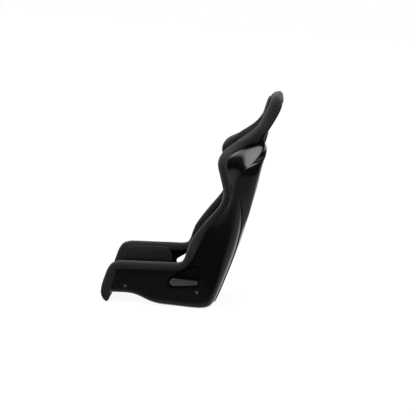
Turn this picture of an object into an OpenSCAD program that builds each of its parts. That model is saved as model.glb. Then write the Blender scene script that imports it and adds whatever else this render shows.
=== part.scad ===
// Fixed-back racing seat: moulded bucket shell with a bonded back panel, padded rim, loose cushions,
// harness slots and side-mount inserts.
// Frame: millimetres, +Z up, seat faces -Y, left side is +X, origin on the ground under the middle of the seat.

/* [Shell] */
// Half width of the shell across the flat side-mount faces
base_half = 203; // [195:1:212]
// Extra half width of the shoulder wings over the table below
wing_extra = 0; // [-10:1:15]
// Laminate thickness of the main shell
shell_t = 5; // [4:0.5:6]
// Laminate thickness of the back panel
panel_t = 4.5; // [3.5:0.5:5.5]
// How far the back panel stands off the shell, as a factor
panel_bulge = 1; // [0.8:0.05:1.1]

/* [Side mounts] */
// Distance between the front and rear insert on one side
mount_pitch = 290; // [280:1:300]
// Height of the insert line above the ground
mount_z = 72; // [70:1:76]
// Y of the rear insert
mount_rear_y = 54; // [50:1:58]
// Radius of the insert's bore (M8)
insert_bore_r = 4; // [3.4:0.1:4.2]
// Outer radius of the insert's barrel
insert_r = 6; // [5.5:0.5:7]
// Length of the insert
insert_len = 20; // [14:1:24]

/* [Belt slots] */
// Width of the rubber edge trim around a lap-belt slot
trim_w = 10; // [8:0.5:11]
// Half width from the middle plane to the centre of a shoulder slot
harness_x = 72; // [70:1:76]
// Width of a shoulder slot
harness_w = 62; // [54:1:66]
// Height of a shoulder slot
harness_h = 38; // [34:1:40]
// Width of the crotch-strap slot
crotch_w = 84; // [70:1:90]
// Depth of the crotch-strap slot, front to back
crotch_d = 34; // [30:1:40]

/* [Upholstery] */
// Thickness of the lining on the shell walls
lining_t = 7; // [5:0.5:8]
// Thickness of the thigh side pads
thigh_pad_t = 22; // [16:1:26]
// Thickness of the shoulder pads
shoulder_pad_t = 22; // [14:1:26]
// Height of the base cushion's front over the thin pad at its back, plus the pad
base_cushion_h = 54; // [44:1:56]
// Thickness of the lumbar cushion
lumbar_t = 30; // [20:1:34]
// Thickness of the upper back cushion
back_cushion_t = 22; // [16:1:26]
// Thickness of the head cushion
head_cushion_t = 44; // [34:1:46]
// How far the rim roll bulges outside the shell
roll_out = 13; // [10:1:15]
// How far the rim roll bulges inside the shell
roll_in = 25; // [20:1:28]

/* [Hidden] */
gap = 0.4;          // clearance between neighbouring pieces
B = base_half;
W = wing_extra;

// Stations of the shell from the front lip to the head, each a section across the seat:
// [spine y, spine z, rim y, rim z, base half width, corner radius, rim half width, wall bow, panel edge, panel bulge]
// Panel edge runs 0..1 over the flat back, 1..2 round the corner and 2..3 up the side wall.
ST = [
  [-296,  38, -279, 152, B,    18, B,       0, 0.97,  0],
  [-262,  40, -262, 156, B,    18, B,       0, 0.97,  0],
  [-200,  43, -203, 159, B,    18, B,       0, 0.97,  0],
  [-150,  20, -155, 161, B,    20, B,       0, 0.97,  0],
  [-108,   5, -110, 164, B,    24, B,       0, 0.97,  0],
  [ -50,   4,  -62, 166, B,    26, B,       0, 0.97,  0],
  [  10,   2,  -24, 169, B,    26, B,       0, 0.97,  0],
  [  74,   0,   -3, 181, B,    28, B,       0, 0.97,  0],
  [ 116,  10,    8, 203, B,    30, B-1,     0, 0.97,  3],
  [ 134,  52,   19, 234, B-1,  34, B-6,     1, 0.97,  3],
  [ 151, 102,   30, 267, B-9,  40, B-17,    2, 0.97,  3],
  [ 169, 158,   45, 300, B-16, 46, B-23,    1, 0.97,  3],
  [ 188, 222,   65, 334, B-20, 50, B-23,    0, 0.98,  4],
  [ 202, 287,   93, 376, B-21, 50, B-20,   -2, 1.00,  7],
  [ 209, 347,  124, 415, B-19, 46, B-11,   -4, 1.08, 14],
  [ 211, 407,  143, 456, B-15, 40, B+2,    -6, 1.35, 24],
  [ 212, 467,  146, 502, B-10, 36, B+19+W, -6, 1.80, 33],
  [ 218, 529,  133, 547, B-4,  34, B+36+W, -5, 2.08, 37],
  [ 233, 580,  119, 588, B+2,  30, B+47+W, -2, 2.08, 29],
  [ 249, 610,  116, 613, B-18, 28, B+46+W,  0, 2.00, 19],
  [ 264, 637,  120, 635, B-45, 24, B+26+W,  0, 1.75, 10],
  [ 279, 661,  137, 653, B-70, 22, B-10+W,  0, 1.50, 3],
  [ 276, 684,  170, 672, B-82, 20, B-42+W*0.7, 0, 1.50, 0],
  [ 271, 706,  206, 692, B-80, 15, B-56+W*0.4, 0, 1.50, 0],
  [ 281, 731,  242, 721, B-82, 10, B-65,    0, 1.50, 0],
  [ 296, 757,  268, 756, B-90,  8, B-80,    0, 1.50,  0],
  [ 313, 791,  284, 792, B-100, 6, B-93,    0, 1.50,  0],
  [ 328, 827,  300, 829, B-108, 6, B-100,   0, 1.50,  0],
  [ 330, 848,  307, 850, B-121, 6, B-107,   0, 1.50,  0],
  [ 327, 859,  312, 861, B-140, 6, B-122,   0, 1.50,  0],
  [ 325, 864,  316, 865, B-165, 6, B-150,   0, 1.50,  0]
];
UN = len(ST) - 1;

// Uniform cubic B-spline through the station table, ends clamped
function bsp(t, a, b, c, d) = (pow(1-t,3)*a + (3*t*t*t - 6*t*t + 4)*b + (-3*t*t*t + 3*t*t + 3*t + 1)*c + t*t*t*d) / 6;
function row(u) = let (i = min(UN-1, max(0, floor(u))), t = u - i)
  bsp(t, i > 0 ? ST[i-1] : 2*ST[0] - ST[1], ST[i], ST[i+1], i+2 <= UN ? ST[i+2] : 2*ST[UN] - ST[UN-1]);

// Point of the shell's outer surface: u along the seat, v across it (0 middle, 1 flat's end, 2 corner's end, 3 rim)
function secp(r, a) = let (d = [r[2]-r[0], r[3]-r[1]], L = norm(d), rc = min(r[5], L*0.7))
  a <= 1 ? [a*(r[4]-rc), 0, L] :
  a <= 2 ? [r[4]-rc + rc*sin((a-1)*90), rc*(1-cos((a-1)*90)), L] :
  let (t = a-2) [r[4] + (r[6]-r[4])*t*t*(2-t) + r[7]*pow(sin(180*min(t,1)),2), rc + (L-rc)*t, L];
function sec(u, v) = let (r = row(u), p = secp(r, abs(v)), k = p[1]/p[2])
  [(v < 0 ? -1 : 1)*p[0], r[0] + (r[2]-r[0])*k, r[1] + (r[3]-r[1])*k];
function unit(a) = a / max(norm(a), 1e-9);
// Outward normal, and the point at a depth inside the outer surface
function nrm(u, v) = let (e = 0.02) unit(cross(sec(u+e, v) - sec(u-e, v), sec(u, v+e) - sec(u, v-e)));
function off(u, v, o) = sec(u, v) - nrm(u, v)*o;

function clamp(x) = min(1, max(0, x));
function ease(x) = sin(90*clamp(x));
function lerp(a, b, t) = a + (b-a)*t;
// 1 in the middle of a span and falling to 0 at both ends, with shoulders set by p
function dome(x, p=5) = pow(max(0, 1 - pow(abs(2*x-1), p)), 0.5);

// A closed solid between two grids of points of the same size
module between(top, bot) {
  n = len(top); m = len(top[0]);
  pts = concat([for (r = top) each r], [for (r = bot) each r]);
  k = n*m;
  function q(i, j) = i*m + j;
  faces = concat(
    [for (i = [0:n-2], j = [0:m-2]) each [[q(i,j), q(i+1,j), q(i+1,j+1)], [q(i,j), q(i+1,j+1), q(i,j+1)]]],
    [for (i = [0:n-2], j = [0:m-2]) each [[k+q(i,j), k+q(i+1,j+1), k+q(i+1,j)], [k+q(i,j), k+q(i,j+1), k+q(i+1,j+1)]]],
    [for (i = [0:n-2]) each [[q(i,0), k+q(i,0), k+q(i+1,0)], [q(i,0), k+q(i+1,0), q(i+1,0)]]],
    [for (i = [0:n-2]) each [[q(i,m-1), k+q(i+1,m-1), k+q(i,m-1)], [q(i,m-1), q(i+1,m-1), k+q(i+1,m-1)]]],
    [for (j = [0:m-2]) each [[q(0,j), k+q(0,j+1), k+q(0,j)], [q(0,j), q(0,j+1), k+q(0,j+1)]]],
    [for (j = [0:m-2]) each [[q(n-1,j), k+q(n-1,j), k+q(n-1,j+1)], [q(n-1,j), k+q(n-1,j+1), q(n-1,j+1)]]]);
  polyhedron(points = pts, faces = [for (f = faces) [f[0], f[2], f[1]]], convexity = 10);
}

// Upholstery patch on the inside of the shell, from depth lo to depth hi, thinner at its edges
module patch(u0, u1, v0, v1, nu, nv, lo, hi, edge=0.35, p=6) {
  us = [for (i = [0:nu]) lerp(u0, u1, i/nu)];
  vs = [for (j = [0:nv]) lerp(v0, v1, j/nv)];
  between([for (i = [0:nu]) [for (j = [0:nv]) off(us[i], vs[j], lo)]],
          [for (i = [0:nu]) [for (j = [0:nv]) off(us[i], vs[j], lo + (hi-lo)*(edge + (1-edge)*dome(i/nu, p)*dome(j/nv, p)))]]);
}

// Rings of the rim roll: a plump C that grips the shell's edge. Each entry of a path is
// [rim point, wall normal, tangent, half width, bulge outside, bulge inside, outer groove, inner groove, where the inner lip ends].
RN = 14;
MID = 7;
function pwr(x, e) = (x < 0 ? -1 : 1)*pow(abs(x), e);
function lip_f(k, b) = asin(pow(min(1, abs(k)/b), 1.3));
function ring(h) = let (p = h[0], t = h[2], n = unit(h[1] - t*(h[1]*t)), w = h[3], e1 = unit(cross(n, t)),
    c = (h[4] - h[5] - shell_t)/2, b = (h[4] + h[5] + shell_t)/2, f0 = lip_f(gap - c, b), f1 = min(h[8], 360 - lip_f(-shell_t - gap - c, b)))
  concat([h[6][0]],
         [for (i = [1:RN-2]) let (f = lerp(f0, f1, i/(RN-1))) p - e1*w*pwr(cos(f), 0.77) + n*(c + b*pwr(sin(f), 0.77))],
         [h[7][0], h[7][1], h[7][2], h[6][2], h[6][1]]);
module roll(path) {
  n = len(path); m = RN + 4;
  pts = [for (h = path) each ring(h)];
  cap = concat([[RN+2, RN+3, 0]], [for (i = [0:MID-1]) [RN+2, i, i+1]], [[RN+2, MID, RN+1]], [for (i = [MID:RN-2]) [RN+1, i, i+1]], [[RN+1, RN-1, RN]]);
  faces = concat(
    [for (i = [0:n-2], j = [0:m-1]) let (a = i*m+j, b = i*m+(j+1)%m) each [[a, b, b+m], [a, b+m, a+m]]],
    [for (f = cap) [f[0], f[2], f[1]]],
    [for (f = cap) [(n-1)*m+f[0], (n-1)*m+f[1], (n-1)*m+f[2]]]);
  polyhedron(points = pts, faces = faces, convexity = 6);
}

// Half width of the roll along the rim, as seen from the side
RW = [[0,19],[5,18.5],[6,17.5],[7,15],[8,15],[9,17.5],[10,19.5],[11,17],[12,14.5],[13,13],[14,13],[15,13.5],[16,13.5],[17,14],[18,15],[19,16],[20,17.5],[21,18.5],[22,18.5],[23,18.5],[24,19.5],[25,20.5],[26,21.5],[27,22],[28,23],[29,24],[30,22.5]];
function lut(t, x, i=0) = i >= len(t)-2 || x <= t[i+1][0] ? lerp(t[i][1], t[i+1][1], clamp((x-t[i][0])/(t[i+1][0]-t[i][0]))) : lut(t, x, i+1);
function rimt(u) = unit(sec(u+0.03, 3) - sec(u-0.03, 3));
function lip_w(w, ro, ri, inner) = let (c = (ro - ri - shell_t)/2, b = (ro + ri + shell_t)/2) w*pow(cos(lip_f(inner ? -shell_t - gap - c : gap - c, b)), 0.77);
function rim_ring(u, ro, ri) = let (w = lut(RW, u), lw = norm(sec(u, 3) - sec(u, 2.9))/0.1,
    vo = max(1.9, 3 - lip_w(w, ro, ri, false)/lw), wi = min(lip_w(w, ro, ri, true), 0.7*lw), vi = 3 - wi/lw)
  [sec(u, 3), nrm(u, 3), rimt(u), w, ro, ri,
   [for (v = [vo, (vo+3)/2, 3+2*gap/lw]) off(u, v, -2.5*gap)], [for (v = [vi, (vi+3)/2, 3+2*gap/lw]) off(u, v, shell_t + 2.5*gap)],
   360 - acos(pow(min(1, wi/w), 1.3))];
function span(u0, u1, ro=roll_out, ri=roll_in, ri1=-1) = let (us = concat([u0], [for (u = shell_us()) if (u > u0 + 0.08 && u < u1 - 0.08) u], [u1]))
  [for (u = us) rim_ring(u, ro, ri1 < 0 ? ri : lerp(ri, ri1, (u-u0)/(u1-u0)))];
// A free ring on a flat wall: point, normal, tangent, half width, bulges, depth of the groove, end of the inner lip, clearance
function free_ring(p, n, t, w, ro, ri, gd, fe=360, g=gap) = let (m = unit(n - t*(n*t)), e1 = unit(cross(m, t)), wo = lip_w(w, ro, ri, false), wi = min(lip_w(w, ro, ri, true), w*pow(max(0.01, cos(fe)), 0.77)),
    ko = max(gd+1, wo), ki = max(gd+1, wi))
    [p, m, t, w, ro, ri, [for (k = [[ko, g], [(ko+gd)/2, g-0.15], [gd, g]]) p - e1*k[0] + m*k[1]], [for (k = [[ki, g], [(ki+gd)/2, g-0.15], [gd, g]]) p - e1*k[0] - m*(shell_t + k[1])], fe];
LEG_IN = 17;        // the thigh rolls bulge less towards the seat
X1 = [1, 0, 0];
// Front edge of the side wall, from the lip up round the corner, in the plane of the flat side:
// [y, z, half width, depth of the groove, end of the inner lip]
LEGP = [[-304, 6, 6, 4, 290], [-308, 16, 14, 9, 290], [-312, 34, 19.5, 13, 290], [-312, 60, 19.5, 13, 296], [-307, 84, 19.5, 9, 330], [-301, 108, 18.5, 9, 345], [-293, 132, 18.5, 8, 345], [-282, 148, 18.5, -6, 345]];
function leg_t(i) = let (a = LEGP[max(0, i-1)], b = i == len(LEGP)-1 ? [-262, 156] : LEGP[i+1]) unit([0, b[0]-a[0], b[1]-a[1]]);
LEG = [for (i = [0:len(LEGP)-1]) let (q = LEGP[i]) free_ring([B, q[0], q[1]], X1, leg_t(i), q[2], roll_out, LEG_IN, q[3], q[4])];

// Outline of a lap-belt slot, in the side plane (y, z), grown or shrunk by g
module lap_disc(c, g) translate([c[0], c[1]]) circle(r = max(1.2, c[2] + g), $fn = 28);
module lap_outline(g) hull() {
  hull() { lap_disc([-43, 105, 25], g); lap_disc([52, 102, 9], g); }
  hull() { lap_disc([46, 170, 14], g); lap_disc([25, 167, 13], g); }
}
module side_extrude(x0, x1) translate([x0, 0, 0]) rotate([90, 0, 90]) linear_extrude(x1 - x0) children();

// Shoulder slot in the plane of the neck wall
HC = row(23.0);
HL = 11;            // lean of the neck wall, degrees
module harness_outline(g) hull() for (x = [-1, 1], z = [-1, 1])
  translate([x*(harness_w/2 - 12), z*(harness_h/2 - 12)]) circle(r = 12 + g, $fn = 28);
module harness_frame(side) translate([side*harness_x, HC[0] + 0.8, HC[1] + 2]) rotate([-HL, 0, 0]) rotate([90, 0, 0]) children();

CY = -52;           // middle of the crotch slot
module crotch_outline(g) hull() for (x = [-1, 1]) hull() for (k = [0.8, 1])
  translate([x*k*(crotch_w/2 - crotch_d/2), CY]) circle(r = crotch_d/2 + g, $fn = 28);

// Main shell ---------------------------------------------------------------
function shell_us() = [0, 0.35, 0.8, 1.3, 1.8, 2.2, 2.6, 3, 3.4, 3.8, 4.3, 5, 5.7, 6.3, 6.8, 7.2, 7.6, 8, 8.4, 8.8, 9.3, 10, 10.8, 11.6, 12.4, 13.2, 14, 14.8, 15.5, 16.2, 17, 17.7, 18.3, 18.8, 19.3, 19.8, 20.3, 20.8, 21.4, 22, 22.7, 23.4, 24.2, 24.8, 25.4, 26, 26.6, 27.2, 27.8, 28.4, 28.9, 29.3];
function shell_vs() = let (h = [0.3, 0.65, 1, 1.25, 1.5, 1.75, 2, 2.15, 2.3, 2.45, 2.6, 2.8, 3]) concat([for (i = [len(h)-1:-1:0]) -h[i]], [0], h);
module main_shell() color([0.02, 0.02, 0.022]) {
  difference() {
    union() {
      between([for (u = shell_us()) [for (v = shell_vs()) off(u, v, 0)]],
              [for (u = shell_us()) [for (v = shell_vs()) off(u, v, shell_t)]]);
    }
    for (s = [-1, 1]) {
      side_extrude(s > 0 ? B-12 : -B-12, s > 0 ? B+12 : -B+12) lap_outline(-trim_w/2);
      harness_frame(s) translate([0, 0, -25]) linear_extrude(50) harness_outline(0);
      for (y = [mount_rear_y, mount_rear_y - mount_pitch]) hull() for (x = [B-15, B+15]) translate([s*x, y, mount_z]) rotate([0, 90, 0]) cylinder(r = insert_r + 0.3, h = 0.1, $fn = 24);
    }
    translate([0, 0, -10]) linear_extrude(40) crotch_outline(0);
  }
}

// Back panel ---------------------------------------------------------------
U0 = 8.5;           // lower edge of the panel
UC = 21.05;          // top edge in the middle
US = 18.1;          // top edge where it meets the side seam
UR = 17.9;          // above this the panel keeps its own section while the shell's shoulder falls away from it
function pan_u(a, b) = lerp(U0, lerp(UC, US, pow(abs(b), 2.8)), a);
function pan_k(a, b) = ease((1-abs(b))/0.3)*ease((1-a)/0.008)*ease(a/0.06);
function back_dir(u) = let (r = row(u)) unit([0, r[0]-r[2], r[1]-r[3]]);
function pan(a, b, o) = let (u = pan_u(a, b), r = row(u), v = r[8]*b, k = pan_k(a, b), s = u < UR ? u : UR + 0.4*(1 - exp(-(u-UR)/0.4)),
    p = secp(r, abs(v)), q = secp(row(s), abs(v)))
  sec(u, v) + nrm(u, v)*o + back_dir(u)*k*(r[9]*panel_bulge + max(0, p[1]-q[1])) + [(b < 0 ? -1 : 1)*max(0, q[0]-p[0])*k, 0, 0];
function pan_as() = [0, 0.025, 0.06, 0.13, 0.21, 0.3, 0.39, 0.48, 0.57, 0.66, 0.74, 0.81, 0.87, 0.925, 0.97, 0.992, 0.996, 1];
function pan_bs() = let (h = [0.25, 0.46, 0.62, 0.72, 0.8, 0.87, 0.93, 0.97, 1]) concat([for (i = [len(h)-1:-1:0]) -h[i]], [0], h);
module back_panel() color([0.02, 0.02, 0.022])
  between([for (a = pan_as()) [for (b = pan_bs()) pan(a, b, gap + panel_t)]],
          [for (a = pan_as()) [for (b = pan_bs()) pan(a, b, gap)]]);

// Side-mount inserts and the plates laminated behind them ---------------------
module insert() rotate([0, 90, 0]) difference() {
  union() {
    cylinder(r = insert_r, h = insert_len, $fn = 32);
    cylinder(r = insert_r + 5, h = 3, $fn = 6);
  }
  translate([0, 0, -1]) cylinder(r = insert_bore_r, h = insert_len + 2, $fn = 32);
}
module at_inserts() for (s = [-1, 1], y = [mount_rear_y, mount_rear_y - mount_pitch])
  mirror([s < 0 ? 1 : 0, 0, 0]) translate([B - insert_len, y, mount_z]) children();
module mount_inserts() color([0.72, 0.73, 0.76]) at_inserts() insert();
module insert_plates() color([0.35, 0.36, 0.38]) at_inserts() difference() {
  translate([insert_len - shell_t - 5, -14, -8.5]) cube([4, 28, 26]);
  rotate([0, 90, 0]) cylinder(r = insert_r + 0.3, h = insert_len, $fn = 24);
}

// Belt-slot trims ------------------------------------------------------------
// A slab that follows the side wall between two depths
module wall_slab(o0, o1) {
  us = [for (u = shell_us()) if (u > 4.2 && u < 10.1) u];
  vs = [for (v = shell_vs()) if (v > 1.9) v];
  between([for (u = us) [for (v = vs) off(u, v, o0)]], [for (u = us) [for (v = vs) off(u, v, o1)]]);
}
// Rubber edge of a lap-belt slot: a C that grips the wall all round
module lap_trim() color([0.015, 0.015, 0.015]) difference() {
  intersection() {
    wall_slab(-3.2, shell_t + 3.2);
    side_extrude(B - 22, B + 12) lap_outline(0);
  }
  side_extrude(B - 24, B + 14) lap_outline(-trim_w);
  difference() {
    wall_slab(-0.7, shell_t + 0.7);
    side_extrude(B - 24, B + 14) lap_outline(-trim_w/2 - 0.6);
  }
}
module harness_bezel(side) color([0.03, 0.03, 0.03]) harness_frame(side) difference() {
  union() {
    translate([0, 0, -5.6]) linear_extrude(2.6) harness_outline(4.5);
    translate([0, 0, -5.6]) linear_extrude(17) harness_outline(-0.5);
  }
  translate([0, 0, -12]) linear_extrude(40) harness_outline(-4);
}
module crotch_slot_trim() color([0.03, 0.03, 0.03]) difference() {
  union() {
    translate([0, 0, 10.4]) linear_extrude(2.4) crotch_outline(6);
    translate([0, 0, 1]) linear_extrude(11) crotch_outline(-0.5);
  }
  translate([0, 0, -5]) linear_extrude(30) crotch_outline(-3.5);
}

// Cushions -------------------------------------------------------------------
// Inner face of the shell floor under the cushion, and the cushion's top line
function floor_z(y) = lut([[-330, 45.6], [-262, 48], [-206, 48.4], [-170, 38], [-150, 29.5], [-128, 19], [-108, 12.6], [-80, 10.2], [-50, 9.4], [10, 7.8], [70, 7]], y) + 3;
function top_z(y, x) = lut([[-296, 76], [-288, 81], [-270, 86], [-240, 87], [-200, 82], [-150, 62], [-108, 43], [-60, 33], [0, 30], [46, 29], [64, 27]], y)
  + (base_cushion_h - 54)*clamp((-60 - y)/140) - (y < -120 ? 12 : y < -70 ? lerp(12, 4, (y+120)/50) : 4)*pow(abs(x), 6) - 2*(1-abs(x));
module base_cushion() color([0.05, 0.05, 0.052]) {
  ys = [-296, -288, -270, -240, -206, -185, -165, -145, -125, -108, -90, -75, -50, -25, 0, 25, 46, 58, 64];
  xs = [-1, -0.96, -0.86, -0.7, -0.5, -0.25, 0, 0.25, 0.5, 0.7, 0.86, 0.96, 1];
  hw = 176;
  difference() {
    between([for (y = ys) [for (x = xs) [x*hw, y, floor_z(y)]]], [for (y = ys) [for (x = xs) [x*hw, y, top_z(y, x)]]]);
    linear_extrude(120) crotch_outline(2);
    translate([0, 0, -1]) linear_extrude(14) crotch_outline(9);
    translate([0, 0, 12]) linear_extrude(3) crotch_outline(5);
  }
}
module lumbar_cushion() color([0.05, 0.05, 0.052]) patch(10.3, 13.3, -0.86, 0.86, 8, 10, shell_t + lining_t + 2.4, shell_t + lining_t + 2 + lumbar_t, 0.25, 4);
module back_cushion() color([0.05, 0.05, 0.052]) patch(13.5, 19.3, -0.84, 0.84, 12, 10, shell_t + lining_t + 2.4, shell_t + lining_t + 2 + back_cushion_t, 0.35, 6);
// Profile of the head cushion, bottom to top: [back y, back z, front y, front z, half width at the back, half width at the front]
HP = [[286, 768, 268, 767, 60, 58], [288, 775, 255, 774, 62, 64], [294, 785, 252.5, 785, 62, 65], [301.5, 805, 258.5, 806, 60, 65], [309, 826, 263.5, 829, 54, 65],
      [311, 837, 267, 846, 42, 65], [308, 842, 271, 858, 32, 63], [286, 848, 274, 865, 46, 60], [283, 859, 280, 866.5, 52, 54]];
module head_cushion() color([0.05, 0.05, 0.052]) {
  xs = [-1, -0.97, -0.86, -0.65, -0.35, 0, 0.35, 0.65, 0.86, 0.97, 1];
  between([for (h = HP) [for (x = xs) [h[4]*x, h[0], h[1]]]],
          [for (h = HP) [for (x = xs) let (k = 0.35 + 0.65*pow(1 - pow(abs(x), 9), 0.5), t = k*(head_cushion_t/44)) [lerp(h[4], h[5], t)*x, lerp(h[0], h[2], t), lerp(h[1], h[3], t)]]]);
}
// The shoulder pad fills the wall from its corner up to the rim roll
function wall_l(u) = norm(sec(u, 3) - sec(u, 2.9))/0.1;
function shp(i, j, d) = let (u = lerp(16.2, 21.4, i/10), v = lerp(2.1, 3 - 20/wall_l(u), j/6))
  off(u, v, shell_t + lining_t + 1 + (d == 0 ? 0 : (shoulder_pad_t - 1)*(0.3 + 0.7*dome(i/10, 4)*dome(j/6, 4))));
module shoulder_pad() color([0.05, 0.05, 0.052])
  between([for (i = [0:10]) [for (j = [0:6]) shp(i, j, 0)]], [for (i = [0:10]) [for (j = [0:6]) shp(i, j, 1)]]);
function pad_lo(a) = 90 + 10*pow(a, 3);
function pad_hi(a) = lerp(154, 162, ease(a*5)) + 8*a - 54*(1 - sqrt(1 - pow(max(0, (a-0.83)/0.17)*0.98, 2)));
function pad_y(a) = lerp(-295, -80, a);
// Face towards the wall: it leans on the lining below and on the thigh roll above and in front
function pad_x(y, z) = min(lut([[88, 189.4], [133, 189.4], [137, 187], [141, 184], [146, 181.6], [152, 180.2], [170, 180]], z), lut([[-290, 180], [-272, 180.2], [-262, 189.4], [-80, 189.4]], y)) + B - 203;
function pad_pt(a, t, d) = let (z = lerp(pad_lo(a), pad_hi(a), t), y = pad_y(a) + 14*t*(1-a))
  [d == 0 ? pad_x(y, z) : min(pad_x(y, z) - 3, B - 13.6 - thigh_pad_t*(0.35 + 0.65*dome(a, 6)*dome(t, 4))), y, z];
PAS = [0, 0.04, 0.1, 0.18, 0.27, 0.36, 0.46, 0.56, 0.66, 0.75, 0.82, 0.87, 0.91, 0.945, 0.97, 0.988, 1];
PTS = [0, 0.12, 0.3, 0.5, 0.66, 0.76, 0.86, 0.95, 1];
module thigh_pad() color([0.05, 0.05, 0.052])
  between([for (a = PAS) [for (t = PTS) pad_pt(a, t, 0)]], [for (a = PAS) [for (t = PTS) pad_pt(a, t, 1)]]);
module pan_lining() color([0.05, 0.05, 0.052]) difference() {
  between([for (y = [-270, -262, -202, -150, -105, -82]) [for (z = [72, 90, 110, 128, 133]) [B - shell_t - 1, y, z]]],
          [for (y = [-270, -262, -202, -150, -105, -82]) [for (z = [72, 90, 110, 128, 133]) [B - shell_t - lining_t*(z == 72 || z == 133 || y == -270 || y == -82 ? 0.5 : 1), y, z]]]);
  translate([B - 10, mount_rear_y - mount_pitch, mount_z]) cube([40, 34, 48], center = true);
}
module side_lining() color([0.05, 0.05, 0.052]) patch(9.6, 21.9, 2.04, 2.66, 30, 5, shell_t + 1, shell_t + lining_t, 0.5, 8);
module back_lining() color([0.05, 0.05, 0.052]) patch(9.3, 21.3, -0.95, 0.95, 22, 8, shell_t + 1, shell_t + lining_t, 0.5, 12);
module head_lining() color([0.05, 0.05, 0.052]) patch(24.6, 27.6, -0.78, 0.78, 9, 8, shell_t + 0.8, shell_t + lining_t, 0.5, 12);

// Padded rim -------------------------------------------------------------------
module front_lip_pad() color([0.05, 0.05, 0.052]) translate([-B + 23, 0, 0]) rotate([90, 0, 90]) linear_extrude(2*B - 46)
  polygon([[-304, 2], [-315, 12], [-325, 30], [-330, 52], [-330, 64], [-327, 75], [-321, 82], [-312, 85], [-304, 82], [-299, 75], [-298, 58], [-298, 36], [-295, 22], [-297, 8]]);
module leg_roll() color([0.05, 0.05, 0.052]) roll(concat(LEG, span(0.8, 7.57, roll_out, LEG_IN)));
module side_roll() color([0.05, 0.05, 0.052]) roll(span(7.63, 16.17, roll_out, LEG_IN, roll_in-4));
module shoulder_roll() color([0.05, 0.05, 0.052]) roll(span(16.23, 24.18, roll_out, roll_in-4, roll_in-3));
module head_roll() color([0.05, 0.05, 0.052]) {
  top = [for (q = [[33, 324, 871], [16, 324, 872], [0, 324, 872]]) free_ring(q, [0, 0.95, 0.3], unit([-1, 0, q[0] > 20 ? 0.06 : 0]), q[0] > 20 ? 18.5 : 17.5, roll_out - 6, 26, 5, 360, 1.5)];
  half = concat(span(24.22, 29.6, roll_out, roll_in-3, 20), top);
  roll(concat(half, [for (i = [len(half)-2:-1:0]) let (h = half[i]) mirror_ring(h)]));
}
function mx(p) = [-p[0], p[1], p[2]];
function mirror_ring(h) = [mx(h[0]), mx(h[1]), -mx(h[2]), h[3], h[4], h[5], [for (p = h[6]) mx(p)], [for (p = h[7]) mx(p)], h[8]];

// Hook-and-loop strips that hold the loose cushions ------------------------------
module base_hook_strips() color([0.08, 0.08, 0.08]) for (x = [-110, 60]) translate([x, 0, 0])
  between([for (y = [-34, -10, 20, 50]) [for (x = [0, 50]) [x, y, floor_z(y) - 2.6]]], [for (y = [-34, -10, 20, 50]) [for (x = [0, 50]) [x, y, floor_z(y) - 1]]]);
module back_hook_strips() color([0.08, 0.08, 0.08]) for (s = [-1, 1]) {
  patch(10.8, 12.8, s > 0 ? 0.35 : -0.65, s > 0 ? 0.65 : -0.35, 4, 2, shell_t + lining_t + 0.5, shell_t + lining_t + 1.9, 1);
  patch(14.2, 18.6, s > 0 ? 0.35 : -0.65, s > 0 ? 0.65 : -0.35, 6, 2, shell_t + lining_t + 0.5, shell_t + lining_t + 1.9, 1);
}
module head_hook_strips() color([0.08, 0.08, 0.08]) for (s = [-1, 1])
  patch(25.7, 27.3, s > 0 ? 0.3 : -0.6, s > 0 ? 0.6 : -0.3, 4, 2, shell_t + lining_t + 0.5, shell_t + lining_t + 1.9, 1);

main_shell();
back_panel();
mount_inserts();
insert_plates();
lap_trim();  // lap_slot_trim_left
mirror([1, 0, 0]) lap_trim();  // lap_slot_trim_right
harness_bezel(1);  // harness_bezel_left
harness_bezel(-1);  // harness_bezel_right
crotch_slot_trim();
base_cushion();
lumbar_cushion();
back_cushion();
head_cushion();
thigh_pad();  // thigh_pad_left
mirror([1, 0, 0]) thigh_pad();  // thigh_pad_right
shoulder_pad();  // shoulder_pad_left
mirror([1, 0, 0]) shoulder_pad();  // shoulder_pad_right
pan_lining();  // pan_lining_left
mirror([1, 0, 0]) pan_lining();  // pan_lining_right
side_lining();  // side_lining_left
mirror([1, 0, 0]) side_lining();  // side_lining_right
back_lining();
head_lining();
front_lip_pad();
leg_roll();  // leg_roll_left
mirror([1, 0, 0]) leg_roll();  // leg_roll_right
side_roll();  // side_roll_left
mirror([1, 0, 0]) side_roll();  // side_roll_right
shoulder_roll();  // shoulder_roll_left
mirror([1, 0, 0]) shoulder_roll();  // shoulder_roll_right
head_roll();
base_hook_strips();
back_hook_strips();
head_hook_strips();
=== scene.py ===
import math

import bmesh
import bpy
import numpy as np
from mathutils import Matrix, Vector, noise
from mathutils.bvhtree import BVHTree
from mathutils.kdtree import KDTree


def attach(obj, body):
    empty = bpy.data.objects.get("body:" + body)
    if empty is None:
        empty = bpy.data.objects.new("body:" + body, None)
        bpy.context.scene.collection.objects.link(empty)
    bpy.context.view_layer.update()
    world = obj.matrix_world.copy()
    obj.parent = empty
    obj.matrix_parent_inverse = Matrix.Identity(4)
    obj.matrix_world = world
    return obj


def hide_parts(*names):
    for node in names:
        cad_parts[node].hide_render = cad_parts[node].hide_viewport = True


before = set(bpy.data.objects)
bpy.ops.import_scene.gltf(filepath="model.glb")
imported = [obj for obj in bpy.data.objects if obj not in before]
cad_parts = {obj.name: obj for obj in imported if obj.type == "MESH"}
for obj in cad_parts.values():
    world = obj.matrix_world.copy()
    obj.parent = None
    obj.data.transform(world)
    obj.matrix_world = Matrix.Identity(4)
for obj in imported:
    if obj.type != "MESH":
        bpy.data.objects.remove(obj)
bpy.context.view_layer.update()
scene = bpy.context.scene
MM = 0.001

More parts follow.
